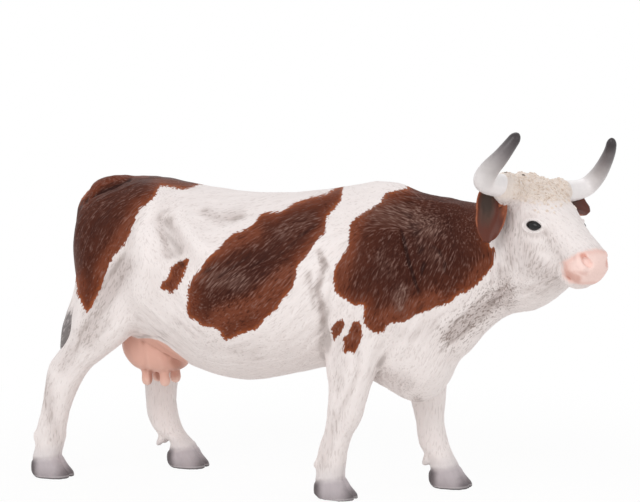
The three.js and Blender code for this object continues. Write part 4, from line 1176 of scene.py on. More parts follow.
def field(name, low, high, amount=1.0, ragged=0.0, grain=1.0, streaks=0.0, within=None):
    """A mask that rises with a painted field from low to high, up to an amount.

    Ragged breaks its edge up with blots of a size in mm, and streaks with the combed strokes.
    Within is another mask, which it stays inside.
    """

    def build(tree):
        if name == "combed":
            value = combed(tree)
        else:
            value = node(tree, "ShaderNodeAttribute", attribute_name=name).outputs["Fac"]
        if ragged:
            place = node(tree, "ShaderNodeTexCoord").outputs["Object"]
            blots = node(
                tree,
                "ShaderNodeTexNoise",
                {"Vector": place, "Scale": 1 / (grain * MM), "Detail": 3.0, "Roughness": 0.6},
            ).outputs["Fac"]
            centred = node(tree, "ShaderNodeMath", {0: blots, 1: 0.5}, operation="SUBTRACT").outputs[0]
            value = node(
                tree, "ShaderNodeMath", {0: centred, 1: 2 * ragged, 2: value}, operation="MULTIPLY_ADD"
            ).outputs[0]
        if streaks:
            hair = node(tree, "ShaderNodeMath", {0: combed(tree), 1: 0.5}, operation="SUBTRACT").outputs[0]
            value = node(
                tree, "ShaderNodeMath", {0: hair, 1: 2 * streaks, 2: value}, operation="MULTIPLY_ADD"
            ).outputs[0]
        mask = node(
            tree,
            "ShaderNodeMapRange",
            {"Value": value, "From Min": low, "From Max": high, "To Max": amount},
            interpolation_type="SMOOTHSTEP",
        ).outputs["Result"]
        if within:
            mask = node(tree, "ShaderNodeMath", {0: mask, 1: within(tree)}, operation="MULTIPLY").outputs[0]
        return mask

    return build


def coat_paint(colours):
    """Painted PVC: soft matt white with grey-brown painted shade in its hollows, and brushed brown patches.
    """
    edge = {"ragged": 0.24, "grain": 2.4, "streaks": 0.32}
    brown = field("patch", -0.1, 0.1, **edge)
    # The painted shade's zones, where the white's hair strokes darken too
    shade_washed = field("shade_wash", 0.05, 0.8, 1.0, ragged=0.25, grain=4)
    hooves = field("hoof", 1.25, 0.8, 1.0, ragged=0.1, grain=2)
    muzzle = field("muzzle", 0.0, 0.42, 1.0, ragged=0.07, grain=1.5, streaks=0.06)
    skirt = field("skirt", -0.15, 0.15)
    layers = [
        # Painted shade: the white darkens softly where the skin is hollow
        (linear("#DDD3D0"), field("hollow", -0.7, 0.9, 0.5, ragged=0.8, grain=18)),
        # Painted shade: grey-brown darkening along the shaded creases, with darker hair strokes there
        (linear("#C6BAB7"), field("shade_wash", 0.0, 1.0, 0.85, ragged=0.2, grain=5)),
        (linear("#CCBFBB"), field("combed", 0.4, 0.0, 0.4)),
        (linear("#9C8F89"), field("combed", 0.52, 0.1, 0.55, within=shade_washed)),
        (linear("#A3958F"), field("hair", -0.1, -0.85, 0.45, within=shade_washed)),
        # Painted shade: darker hair strokes in the throat groove
        (linear("#6E5A50"), field("combed", 0.56, 0.1, 0.5, within=field("throat", 0.3, 0.95))),
        # Painted shade: the white's deepest hollows darken further
        (linear("#A39894"), field("hollow", 0.25, 1.0, 0.45)),
        (colours.brown_rim, brown),
        (linear("#6E3723"), field("patch", 0.1, 0.9, ragged=0.5, grain=3.5, streaks=0.4)),
        (colours.brown, field("patch", 0.4, 3.4, 0.9, ragged=1.8, grain=9, streaks=0.5)),
        (linear("#35160F"), field("patch", 3.2, 8.0, 0.6, ragged=4.0, grain=14, streaks=0.6)),
        (linear("#78412D"), field("warmth", 0.05, 1.0, 0.85, ragged=0.2, grain=5, streaks=0.2, within=brown)),
        # Painted highlight: lighter brown on the pin bone above its crease
        (linear("#6E3826"), field("rump", 0.0, 1.0, 0.8, within=brown)),
        # Painted highlight: a lighter greyish sheen on the brown
        (linear("#6A4C43"), field("painted_sheen", 0.0, 1.1, 0.7, ragged=0.3, grain=2, streaks=0.4, within=brown)),
        # Painted shade: the brown darkens in its hollows
        (linear("#210B08"), field("hollow", 0.1, 0.8, 0.75, within=brown)),
        (linear("#2A110C"), field("combed", 0.36, 0.0, 0.5, within=brown)),
        (linear("#8A6355"), field("combed", 0.55, 1.0, 0.09, within=brown)),
        # Painted highlight: light strokes where the painted sheen lies
        (linear("#A98D80"), field("combed", 0.5, 0.98, 0.26, within=field("painted_sheen", 0.3, 1.0, within=brown))),
        (linear("#EADCD0"), field("poll", 0.1, 0.9, 0.7)),
        (linear("#F1CBC1"), muzzle),
        (colours.pink, field("muzzle", 0.3, 0.9, 1.0, ragged=0.12, grain=3)),
        # Painted shade: darker pink strokes at the muzzle's side
        (linear("#D09A8B"), field("pink_shade", 0.1, 0.9, 0.7, ragged=0.2, grain=1.2, within=muzzle)),
        (linear("#DC9480"), field("nostril", 0.15, 0.9, 0.95)),
        (linear("#BF8577"), field("lips", 0.3, 0.95, 0.7, within=muzzle)),
        (colours.udder, field("udder", -0.4, 0.5, 1.0)),
        (colours.udder, skirt),
        (linear("#DAD3D3"), field("hoof", 1.9, 1.2, 0.7)),
        (colours.hoof, hooves),
        (linear("#978E91"), field("hoof", 0.75, 0.1, 0.5, ragged=0.15, grain=2)),
        (linear("#5F585A"), field("hoof_end", 0.35, 1.0, 0.95, ragged=0.15, grain=3, within=hooves)),
        (linear("#D0CACC"), field("hoof", 0.17, 0.12, 0.35, within=hooves)),
        # Painted shadow: the hoof darkens at its lowest edge, where it meets the floor
        (linear("#4A4546"), field("hoof", 0.1, 0.03, 0.9, within=hooves)),
    ]
    return paint(
        "painted_pvc_coat", colours.white, layers, 0.05, **{"Roughness": 0.5, "Specular IOR Level": 0.08}
    )


def udder_paint(colours):
    """Painted PVC with a satin skin: bare pink, with painted shade in the quarters' folds and painted
    highlight on top.
    """
    layers = [
        (colours.udder, field("udder", -0.4, 0.5, 1.0)),
        (colours.udder, field("skirt", -0.15, 0.15)),
        # Painted shade in the folds between the quarters, and painted highlight on their bulges
        (linear("#B98372"), field("hollow", 0.05, 0.9, 0.8)),
        (linear("#F2D0C2"), field("hollow", -0.15, -0.9, 0.7)),
        # Painted shade: darker pink on the udder's shaded side and between its teats
        (linear("#B47F6E"), field("pink_shade", 0.1, 0.9, 0.8)),
    ]
    return paint(
        "painted_pvc_udder", colours.white, layers, **{"Roughness": 0.45, "Specular IOR Level": 0.25}
    )


def tail_paint(colours):
    """Painted PVC: the tail is brown where it leaves the rump, then white, with a grey brush."""
    layers = [
        (linear("#D8CEC8"), field("hair", -0.1, -0.9, 0.6)),
        (colours.brown_rim, field("patch", -0.12, 0.12, ragged=0.22, grain=2, streaks=0.4)),
        (colours.brown, field("patch", 0.25, 1.25, ragged=0.22, grain=2, streaks=0.4)),
        (linear("#A9A2A1"), field("brush", 0.0, 0.8, 0.9, ragged=0.3, grain=2)),
        (linear("#5C5756"), field("brush", 0.3, 1.0, 0.7, streaks=-0.6)),
    ]
    return paint(
        "painted_pvc_tail", colours.white, layers, **{"Roughness": 0.55, "Specular IOR Level": 0.35}
    )


def horn_paint(colours):
    """Painted PVC: pearly white at the root, airbrushed through grey to nearly black at the tip, satin."""
    layers = [
        (linear("#C4BEBD"), field("share", 0.38, 0.66, 1.0, ragged=0.06, grain=4)),
        (linear("#857E7F"), field("share", 0.54, 0.82, 1.0, ragged=0.06, grain=4)),
        (colours.horn_tip, field("share", 0.7, 0.98, 1.0, ragged=0.05, grain=3)),
        (linear("#A8A09E"), field("ring", 0.3, 1.0, 0.04)),
    ]
    return paint(
        "painted_pvc_horn",
        colours.horn,
        layers,
        **{"Roughness": 0.35, "Specular IOR Level": 0.3, "Coat Weight": 0.1, "Coat Roughness": 0.25},
    )


def ear_paint(colours):
    """Painted PVC: brown ears, a rusty rim with painted highlight, and a half glossy hollow in painted shade.
    """
    layers = [
        # The rusty rim paint, lighter on the curled fold and edge as a painted highlight
        (linear("#8A4A2F"), field("rim", 0.0, 1.0, 0.8, ragged=0.35, grain=1.5)),
        (linear("#B06A4C"), field("rim", 0.7, 1.0, 0.5, ragged=0.6, grain=0.8)),
        (linear("#3B1C16"), field("hair", -0.2, -1.0, 0.5)),
        # Painted shade in the ear's hollow
        (linear("#4F382E"), field("inner", 0.05, 0.6, 0.85, ragged=0.2, grain=2)),
        (linear("#3A2F28"), field("inner", 0.5, 1.0, 0.8, ragged=0.2, grain=1.5)),
    ]
    return paint(
        "painted_pvc_ear", colours.ear, layers, **{"Roughness": 0.42, "Specular IOR Level": 0.25}
    )


def curl_paint(colours):
    """Painted PVC: cream curls, some tinted tan and a rare few flecked dark, each picked at random."""
    layers = [
        (linear("#E6D5C7"), field("tone", 0.3, 0.8, 0.8)),
        (linear("#CDB9A7"), field("tone", 0.82, 0.97, 0.6)),
        (linear("#4C4038"), field("tone", 0.993, 0.994, 0.9)),
    ]
    return paint(
        "painted_pvc_curls", colours.curls, layers, **{"Roughness": 0.6, "Specular IOR Level": 0.3}
    )


def eye_paint(colours):
    """Black gloss enamel, dropped on last, with the wet shine of a live eye."""
    return paint(
        "black_gloss_enamel",
        colours.eye,
        [],
        **{"Roughness": 0.25, "Specular IOR Level": 0.35},
    )


# Horns and ears


def curve_through(points, samples):
    """Even places along a smooth curve through the points."""
    p = np.asarray(points, float)
    p = np.concatenate(([2 * p[0] - p[1]], p, [2 * p[-1] - p[-2]]))
    dense = []
    for a, b, c, d in zip(p[:-3], p[1:-2], p[2:-1], p[3:]):
        for t in np.arange(24) / 24:
            bend = t * t * (2 * a - 5 * b + 4 * c - d) + t**3 * (3 * b - a - 3 * c + d)
            dense.append(0.5 * (2 * b + t * (c - a) + bend))
    dense = np.array([*dense, p[-2]])
    length = np.concatenate(([0], np.cumsum(np.linalg.norm(np.diff(dense, axis=0), axis=1))))
    wanted = np.linspace(0, 1, samples) * length[-1]
    return np.stack([np.interp(wanted, length, column) for column in dense.T], 1)


# The right horn sits higher, in mm, and is stouter than the left
HORN_LIFT = {-1: 1.3, 1: 0.2}
HORN_STOUT = {-1: 1.13, 1: 1.0}
HORN_ROOT = (0.9, 8.8, -4.1)


def horn_path(side, sizes):
    """The horn's middle line: out of the poll, then forward and up to a tip that turns in, in mm."""
    lift = HORN_LIFT[side]
    out, tip_out = sizes.spread / MM, sizes.tip_spread / MM
    root = HORN_ROOT
    tip = (sizes.tip_reach / MM, tip_out, sizes.tip_rise / MM)

    def at(ahead, aside, above):
        return (
            root[0] + (tip[0] - root[0]) * ahead,
            side * aside,
            root[2] + (tip[2] - root[2]) * above + lift * (1 - 0.6 * above),
        )

    return from_level(
        [
            at(0, root[1] - 1.6, -0.06),
            at(0, root[1], 0),
            at(0, root[1] + (out - root[1]) * 0.58, 0.03),
            at(0.09, out - 0.6, 0.11),
            at(0.34, out + 0.3, 0.31),
            at(0.62, out + (tip_out - out) * 0.12, 0.54),
            at(0.85, out + (tip_out - out) * 0.48, 0.78),
            at(1, tip_out, 1),
        ]
    )


def group_inputs(tree, sockets):
    """Declares a node group's named inputs with their defaults, and gives the group's input node."""
    tree.interface.new_socket("Geometry", in_out="INPUT", socket_type="NodeSocketGeometry")
    tree.interface.new_socket("Geometry", in_out="OUTPUT", socket_type="NodeSocketGeometry")
    for name, (kind, value) in sockets.items():
        socket = tree.interface.new_socket(name, in_out="INPUT", socket_type="NodeSocket" + kind)
        if value is not None:
            socket.default_value = value
    return node(tree, "NodeGroupInput")


def set_inputs(modifier, values):
    """Sets a modifier's inputs, each by its socket's identifier."""
    for item in modifier.node_group.interface.items_tree:
        if item.item_type == "SOCKET" and item.in_out == "INPUT" and item.name in values:
            modifier[item.identifier] = values[item.name]


def horn_tree():
    """Sweeps a horn along a path: it tapers, bears growth rings near its root, and ends in a rounded tip."""
    tree = bpy.data.node_groups.new("Horn", "GeometryNodeTree")
    given = group_inputs(
        tree,
        {
            "Root radius": ("Float", 0.0022),
            "Middle radius": ("Float", 0.00185),
            "Tip radius": ("Float", 0.001),
            "Rings": ("Float", 5.0),
            "Ring depth": ("Float", 0.00003),
            "Rows": ("Int", 140),
            "Sides": ("Int", 40),
            "Finish": ("Material", None),
        },
    ).outputs
    path = node(tree, "GeometryNodeMeshToCurve", {"Mesh": given["Geometry"]}).outputs[0]
    path = node(tree, "GeometryNodeCurveSplineType", {"Curve": path}, spline_type="CATMULL_ROM").outputs[0]
    path = node(tree, "GeometryNodeResampleCurve", {"Curve": path, "Count": given["Rows"]}).outputs[0]
    share = node(tree, "GeometryNodeSplineParameter").outputs["Factor"]
    lower = node(
        tree,
        "ShaderNodeMapRange",
        {"Value": share, "From Max": 0.5, "To Min": given["Root radius"], "To Max": given["Middle radius"]},
    ).outputs[0]
    upper = node(tree, "ShaderNodeMapRange", {"Value": share, "From Min": 0.5}).outputs[0]
    drop = node(
        tree, "ShaderNodeMath", {0: given["Tip radius"], 1: given["Middle radius"]}, operation="SUBTRACT"
    ).outputs[0]
    radius = node(tree, "ShaderNodeMath", {0: drop, 1: upper, 2: lower}, operation="MULTIPLY_ADD").outputs[0]
    # The last part of the way closes in a quarter circle.
    past = node(tree, "ShaderNodeMapRange", {"Value": share, "From Min": 0.93}).outputs[0]
    past = node(tree, "ShaderNodeMath", {0: past, 1: 2.0}, operation="POWER").outputs[0]
    past = node(tree, "ShaderNodeMath", {0: 1.02, 1: past}, operation="SUBTRACT").outputs[0]
    past = node(tree, "ShaderNodeMath", {0: past, 1: 0.5}, operation="POWER").outputs[0]
    radius = node(tree, "ShaderNodeMath", {0: radius, 1: past}, operation="MULTIPLY").outputs[0]
    # Growth rings crowd the root and fade out half way.
    turns = node(tree, "ShaderNodeMath", {0: share, 1: 0.8}, operation="POWER").outputs[0]
    turns = node(tree, "ShaderNodeMath", {0: turns, 1: given["Rings"]}, operation="MULTIPLY").outputs[0]
    turns = node(tree, "ShaderNodeMath", {0: turns, 1: 4 * math.pi}, operation="MULTIPLY").outputs[0]
    wave = node(tree, "ShaderNodeMath", {0: turns}, operation="SINE").outputs[0]
    fading = {"Value": share, "From Min": 0.15, "From Max": 0.6, "To Min": 1.0, "To Max": 0.0}
    fade = node(tree, "ShaderNodeMapRange", fading).outputs[0]
    wave = node(tree, "ShaderNodeMath", {0: wave, 1: fade}, operation="MULTIPLY").outputs[0]
    radius = node(
        tree, "ShaderNodeMath", {0: wave, 1: given["Ring depth"], 2: radius}, operation="MULTIPLY_ADD"
    ).outputs[0]
    for name, value in (("share", share), ("ring", wave)):
        path = node(
            tree, "GeometryNodeStoreNamedAttribute", {"Geometry": path, "Name": name, "Value": value}
        ).outputs[0]
    loop = node(tree, "GeometryNodeCurvePrimitiveCircle", {"Resolution": given["Sides"], "Radius": 1.0})
    swept = node(
        tree,
        "GeometryNodeCurveToMesh",
        {"Curve": path, "Profile Curve": loop.outputs[0], "Scale": radius, "Fill Caps": True},
    ).outputs[0]
    swept = node(tree, "GeometryNodeRealizeInstances", {"Geometry": swept}).outputs[0]
    swept = node(tree, "GeometryNodeSetMaterial", {"Geometry": swept, "Material": given["Finish"]}).outputs[0]
    node(tree, "NodeGroupOutput", {"Geometry": swept})
    return tree


def closed_up(mesh):
    """Merges doubles, and turns the faces outward."""
    bm = bmesh.new()
    bm.from_mesh(mesh)
    bmesh.ops.remove_doubles(bm, verts=bm.verts, dist=1e-7)
    bmesh.ops.recalc_face_normals(bm, faces=bm.faces)
    bm.to_mesh(mesh)
    bm.free()
    return mesh


# Pose of each ear: droop and sweep in degrees, and how far ahead of the poll its root stands in mm
EAR_POSES = {"right": (82, 0, -1.5), "left": (16, 7, -0.4)}
EAR_SEED = 11
EAR_ROWS = 60
EAR_COLUMNS = 72


def ear_leaf(side, sizes):
    """A cupped leaf with a thick rim, hanging under its horn, with its paint fields, in mm."""
    word = "right" if side < 0 else "left"
    droop, sweep, ahead = EAR_POSES[word]
    droop, sweep = math.radians(droop), math.radians(sweep)
    length, half = sizes.length / MM, sizes.half / MM
    wall, cup = sizes.wall / MM, sizes.cup / MM
    level = level_rotation()
    flat = math.cos(droop)
    axis = level @ (math.sin(sweep) * flat, side * math.cos(sweep) * flat, -math.sin(droop))
    face = level @ np.array((0.7, side * 0.7, 0.1))
    base = from_level([(ahead, side * 10.2, -4.9)])[0]
    root = from_level([(0.2, side * 5.8, -5.2)])[0]
    rows, count = EAR_ROWS, EAR_COLUMNS
    spine = curve_through([root, base, *(base + axis * length * s for s in (0.35, 0.68, 1))], rows)
    tangents = np.gradient(spine, axis=0)
    tangents /= np.linalg.norm(tangents, axis=1)[:, None]
    share = np.linspace(0, 1, rows)
    widths = np.interp(share, (0, 0.22, 0.48, 0.72, 0.9, 0.97, 1), (0.5, 0.8, 1, 0.92, 0.62, 0.38, 0.12))
    cups = np.interp(share, (0, 0.22, 0.48, 0.72, 0.9, 1), (0.1, 0.85, 1.7, 1.36, 0.68, 0)) * cup / 1.7
    ease = np.ones(5) / 5
    widths = np.convolve(np.pad(widths, 2, "edge"), ease, "valid") * half
    cups = np.convolve(np.pad(cups, 2, "edge"), ease, "valid")
    ring = np.linspace(0, 2 * math.pi, count, endpoint=False)
    aside, facing = np.cos(ring), np.sin(ring)
    places = []
    for centre, tangent, width, depth in zip(spine, tangents, widths, cups):
        out = face - face.dot(tangent) * tangent
        out /= np.linalg.norm(out)
        across = np.cross(out, tangent)
        thick = wall / 2 * (1 - 0.3 * aside**2) * np.sign(facing) * np.abs(facing) ** 0.5
        bow = -depth * (1 - aside**2) + depth / 2
        places.append(centre + np.outer(aside * width, across) + np.outer(bow + thick, out))
    places = np.concatenate(places)
    faces = []
    for r in range(rows - 1):
        for i in range(count):
            j = (i + 1) % count
            faces.append((r * count + i, r * count + j, (r + 1) * count + j, (r + 1) * count + i))
    for r in (0, rows - 1):
        faces.append(tuple(range(r * count, (r + 1) * count)))
    mesh = bpy.data.meshes.new("ear_" + word)
    mesh.from_pydata(places.tolist(), [], faces)
    closed_up(mesh)
    aside, facing = np.tile(aside, rows), np.tile(facing, rows)
    along = np.repeat(share, count)
    net = Net(mesh, across=True)
    points = points_of(mesh)
    normals = normals_of(mesh)
    lie = np.gradient(spine, axis=0)[np.repeat(np.arange(rows), count)]
    lie /= np.linalg.norm(lie, axis=1)[:, None]
    strokes = net.comb(points, lie, EAR_SEED, 1, 30)
    inside = (facing > 0) * smooth_step(0.75, 0.15, abs(aside - 0.3 * side)) * smooth_step(0.12, 0.4, along)
    points += normals * (strokes * (0.13 - 0.09 * inside))[:, None]
    move_points(mesh, points)
    write_field(mesh, "hair", strokes * (1 - inside))
    # Where the paint darkens the ear's hollow as painted shade
    write_field(mesh, "inner", inside * smooth_step(0.95, 0.45, along))
    # The fold and the edge, where the rim paint lies with its painted highlight
    fold = smooth_step(0.3, 0.8, -aside * side) * smooth_step(0.75, 0.5, along)
    edge = smooth_step(0.78, 0.97, abs(aside)) * (1 - 0.5 * smooth_step(0.7, 0.9, along))
    write_field(mesh, "rim", np.maximum(fold, edge))
    to_row(mesh)
    return mesh


# Eyes


EYE_SEGMENTS = 48
EYE_RINGS = 32
EYE_TAPER = 0.4


def eyeball(side, head, sizes):
    """An almond of gloss paint, seated in the socket of the head's skin, in mm."""
    skin = bmesh.new()
    skin.from_mesh(head.data)
    tree = BVHTree.FromBMesh(skin)
    skin.free()
    level = level_rotation()
    slip = EYE_SLIP if side > 0 else 0
    start = from_level([(EYE[0] + slip, side * 14, EYE[2])])[0]
    inward = Vector(level @ (0, -side, 0))
    hit, normal, _, _ = tree.ray_cast(Vector((start + DATUM) * MM), inward)
    centre = np.array(hit) / MM - DATUM
    out = np.array(normal)
    centre += out * 0.2 * slip
    nod = math.radians(EYE_NOD)
    long = level @ (math.cos(nod), 0, -math.sin(nod))
    long -= out * long.dot(out)
    long /= np.linalg.norm(long)
    high = np.cross(long, out)
    bm = bmesh.new()
    bmesh.ops.create_uvsphere(bm, u_segments=EYE_SEGMENTS, v_segments=EYE_RINGS, radius=1)
    length, height, bulge = sizes.length / MM / 2, sizes.height / MM / 2, sizes.bulge / MM
    for v in bm.verts:
        x, y, z = v.co
        lids = 1 - EYE_TAPER * x * x
        v.co = centre + long * x * length + high * y * height * lids + out * (z * bulge - sizes.sink / MM)
    mesh = bpy.data.meshes.new("eye")
    bm.to_mesh(mesh)
    bm.free()
    closed_up(mesh)
    to_row(mesh)
    return mesh


# Curls


# The curly scalp in level head measures: its middle and half width, its lower edge, its back and its front
SCALP_MIDDLE = -0.7
SCALP_HALF = 9.0
SCALP_LEAN = 0.45
SCALP_EDGE = (-5.2, -2.6)
SCALP_BACK = (-7.5, -5.5)
SCALP_FRONT = (10.5, 6.5)
TONE_SEED = 77


def curl_tree():
    """Strews little curls over a skin, each turned at random, thickest where the skin's field is strong."""
    tree = bpy.data.node_groups.new("Curls", "GeometryNodeTree")
    given = group_inputs(
        tree,
        {
            "Spacing": ("Float", 0.0006),
            "Curl size": ("Float", 0.0005),
            "Strand": ("Float", 0.00016),
            "Turns": ("Float", 1.2),
            "Seed": ("Int", 5),
            "Finish": ("Material", None),
        },
    ).outputs
    spread = node(
        tree,
        "GeometryNodeDistributePointsOnFaces",
        {
            "Mesh": given["Geometry"],
            "Distance Min": given["Spacing"],
            "Density Max": 4e6,
            "Seed": given["Seed"],
        },
        distribute_method="POISSON",
    )
    strength = node(
        tree, "GeometryNodeInputNamedAttribute", {"Name": "curls"}, data_type="FLOAT"
    ).outputs["Attribute"]
    tree.links.new(strength, spread.inputs["Density Factor"])
    spiral = node(
        tree,
        "GeometryNodeCurveSpiral",
        {
            "Resolution": 7,
            "Rotations": given["Turns"],
            "Start Radius": 0.25,
            "End Radius": 1.0,
            "Height": 0.1,
        },
    ).outputs[0]
    size = node(tree, "ShaderNodeCombineXYZ", {i: given["Curl size"] for i in range(3)}).outputs[0]
    spiral = node(tree, "GeometryNodeTransform", {"Geometry": spiral, "Scale": size}).outputs[0]
    strand = node(tree, "GeometryNodeCurvePrimitiveCircle", {"Resolution": 5, "Radius": given["Strand"]})
    curl = node(
        tree,
        "GeometryNodeCurveToMesh",
        {"Curve": spiral, "Profile Curve": strand.outputs[0], "Fill Caps": True},
    ).outputs[0]
    spin = node(
        tree,
        "FunctionNodeRandomValue",
        {0: (-0.35, -0.35, 0.0), 1: (0.35, 0.35, 2 * math.pi), "Seed": given["Seed"]},
        data_type="FLOAT_VECTOR",
    ).outputs[0]
    turned = node(
        tree,
        "FunctionNodeRotateRotation",
        {"Rotation": spread.outputs["Rotation"], "Rotate By": spin},
        rotation_space="LOCAL",
    ).outputs[0]
    scale = node(
        tree, "FunctionNodeRandomValue", {2: 0.7, 3: 1.3, "Seed": given["Seed"]}, data_type="FLOAT"
    ).outputs[1]
    strewn = node(
        tree,
        "GeometryNodeInstanceOnPoints",
        {"Points": spread.outputs["Points"], "Instance": curl, "Rotation": turned, "Scale": scale},
    ).outputs[0]
    tone = node(
        tree, "FunctionNodeRandomValue", {2: 0.0, 3: 1.0, "Seed": TONE_SEED}, data_type="FLOAT"
    ).outputs[1]
    strewn = node(
        tree,
        "GeometryNodeStoreNamedAttribute",
        {"Geometry": strewn, "Name": "tone", "Value": tone},
        domain="INSTANCE",
    ).outputs[0]
    strewn = node(tree, "GeometryNodeRealizeInstances", {"Geometry": strewn}).outputs[0]
    finish = {"Geometry": strewn, "Material": given["Finish"]}
    strewn = node(tree, "GeometryNodeSetMaterial", finish).outputs[0]
    node(tree, "NodeGroupOutput", {"Geometry": strewn})
    return tree


# Stage

AMBIENT = 0.63
# Lamps: name, turn and rise in degrees, distance and size in metres, power in watts
LAMPS = [
    ("key", -5, 36, 0.9, 0.6, 2.7),
    ("fill", 70, 15, 1.0, 0.9, 1.3),
    ("rim", 190, 45, 1.0, 0.7, 1.0),
]
LAMP_AIM_HEIGHT = 0.04
FLOOR_RADIUS = 3
# How far from the middle the floor keeps its own shade, in metres
SHADOW_NEAR = 0.07
SHADOW_FAR = 0.16


def seen_rays(tree):
    """1 for the rays that show the backdrop: to the camera, by a reflection or through something clear."""
    rays = node(tree, "ShaderNodeLightPath").outputs
    seen = node(
        tree, "ShaderNodeMath", {0: rays["Is Camera Ray"], 1: rays["Is Glossy Ray"]}, operation="MAXIMUM"
    ).outputs[0]
    return node(
        tree, "ShaderNodeMath", {0: seen, 1: rays["Is Transmission Ray"]}, operation="MAXIMUM"
    ).outputs[0]


def floor_paint():
    """A seamless paper sweep that reads as white, and keeps the shadow that falls on it."""
    material = bpy.data.materials.new("white_paper_sweep")
    material.use_nodes = True
    tree = material.node_tree
    tree.nodes.clear()
    paper = node(tree, "ShaderNodeBsdfDiffuse", {"Color": linear("#F4F2F0")}).outputs[0]
    glow = node(tree, "ShaderNodeEmission", {"Color": (1, 1, 1, 1), "Strength": 1.0}).outputs[0]
    seen = seen_rays(tree)
    place = node(tree, "ShaderNodeTexCoord").outputs["Object"]
    far = node(tree, "ShaderNodeVectorMath", {0: place}, operation="LENGTH").outputs["Value"]
    veil = node(
        tree,
        "ShaderNodeMapRange",
        {"Value": far, "From Min": SHADOW_NEAR, "From Max": SHADOW_FAR, "To Min": 0.94, "To Max": 1.0},
        interpolation_type="SMOOTHSTEP",
    ).outputs[0]
    share = node(tree, "ShaderNodeMath", {0: seen, 1: veil}, operation="MULTIPLY").outputs[0]
    mixed = node(tree, "ShaderNodeMixShader", {0: share, 1: paper, 2: glow}).outputs[0]
    node(tree, "ShaderNodeOutputMaterial", {"Surface": mixed})
    return material


# Settings


def length(name, description, mm):
    """A length that a user may change, kept in metres."""
    return FloatProperty(
        name=name, description=description, default=mm * MM, unit="LENGTH", precision=5
    )


def swatch(name, description, code):
    """A colour that a user may change."""
    return FloatVectorProperty(
        name=name, description=description, default=linear(code), size=4, min=0, max=1, subtype="COLOR"
    )


class CowSkinSizes(PropertyGroup):
    """Sizes of the moulded skin."""

    grain: length("Grain", "Spacing of the skin's points before the fine parts are cut finer", 0.36)
    hair: length("Hair depth", "How far a combed stroke stands out of the skin", 0.14)
    relief: FloatProperty(name="Relief", description="How strongly muscles and folds stand out", default=1.0)
    seed: IntProperty(name="Seed", description="Which random strokes are combed", default=3)


class CowHornSizes(PropertyGroup):
    """Sizes of the horns, from the middle of the poll."""

    root: length("Root radius", "Radius where the horn leaves the poll", 2.5)
    middle: length("Middle radius", "Radius half way along", 1.95)
    tip: length("Tip radius", "Radius before the tip closes", 1.0)
    spread: length("Spread", "How far out the bend of the horn stands", 18)
    tip_reach: length("Tip reach", "How far ahead of the poll the tip stands", 8.7)
    tip_rise: length("Tip rise", "How far above the poll the tip stands", 8.1)
    tip_spread: length("Tip spread", "How far out the tip stands", 15.9)
    rings: FloatProperty(name="Rings", description="Growth rings from root to tip", default=5)


class CowEarSizes(PropertyGroup):
    """Sizes of the ears."""

    length: length("Length", "From the ear's root to its tip", 9.9)
    half: length("Half width", "Half the widest width", 3.3)
    wall: length("Wall", "Thickness in the middle", 1)
    cup: length("Cup", "Depth of the hollow", 1.7)


class CowEyeSizes(PropertyGroup):
    """Sizes of the eyes."""

    length: length("Length", "From corner to corner", 3.8)
    height: length("Height", "From lid to lid", 2.3)
    bulge: length("Bulge", "How far the ball swells", 1.1)
    sink: length("Sink", "How deep the ball's middle is sunk", 0.55)


class CowCurlSizes(PropertyGroup):
    """Sizes of the curls on the poll."""

    spacing: length("Spacing", "Least distance between curls", 0.38)
    size: length("Size", "Radius of a curl", 0.3)
    strand: length("Strand", "Radius of a curl's strand", 0.1)
    seed: IntProperty(name="Seed", description="Which random places the curls take", default=5)


class CowPaints(PropertyGroup):
    """Colours of the hand paint."""

    white: swatch("White", "The coat's ground", "#F3EBE9")
    brown: swatch("Brown", "The middle of the patches", "#472217")
    brown_rim: swatch("Brown rim", "The thin paint along the patches' edges", "#944F2E")
    pink: swatch("Pink", "The bare muzzle", "#FBDDD5")
    udder: swatch("Udder", "The udder and teats", "#DFAE9E")
    hoof: swatch("Hoof", "The hooves", "#BDB4B7")
    horn: swatch("Horn", "The horns' roots", "#F5F0F0")
    horn_tip: swatch("Horn tip", "The horns' tips", "#3A3436")
    ear: swatch("Ear", "The ears", "#5B2C1F")
    curls: swatch("Curls", "The curls on the poll", "#F3E7DD")
    eye: swatch("Eye", "The eyes", "#0B0A0A")


# Operators


class CowMakeBody(Operator):
    """Moulds the skin over the trunk, head, legs, udder and tail, and paints it"""

    bl_idname = "cow.make_body"
    bl_label = "Body"

    def execute(self, context):
        colours = context.scene.cow_paints
        skin = body_skin(context.scene.cow_skin)
        if not skin.polygons:
            raise RuntimeError("the skin is empty")
        meshes = split_skin(skin)
        finishes = {"udder": udder_paint(colours), "tail": tail_paint(colours)}
        coat = coat_paint(colours)
        for name, mesh in meshes.items():
            stands_for = "torso" if name.startswith("torso") else name
            finish_piece(name + "_skin", mesh, finishes.get(name, coat), [stands_for])
        bpy.data.meshes.remove(skin)
        return {"FINISHED"}


class CowMakeHorns(Operator):
    """Sweeps both horns along their bend"""

    bl_idname = "cow.make_horns"
    bl_label = "Horns"

    def execute(self, context):
        sizes, tree = context.scene.cow_horns, horn_tree()
        material = horn_paint(context.scene.cow_paints)
        for word, side in SIDES.items():
            path = (horn_path(side, sizes) + DATUM) * MM
            mesh = bpy.data.meshes.new("path")
            mesh.from_pydata(path.tolist(), [(i, i + 1) for i in range(len(path) - 1)], [])
            obj = add_object("path", mesh)
            sweep = obj.modifiers.new("Horn", "NODES")
            sweep.node_group = tree
            given = {
                "Root radius": sizes.root,
                "Middle radius": sizes.middle * HORN_STOUT[side],
                "Tip radius": sizes.tip * HORN_STOUT[side],
                "Rings": sizes.rings,
                "Finish": material,
            }
            set_inputs(sweep, given)
            horn = closed_up(settled(obj))
            finish_piece("horn_" + word + "_skin", horn, material, ["horn_" + word])
        return {"FINISHED"}


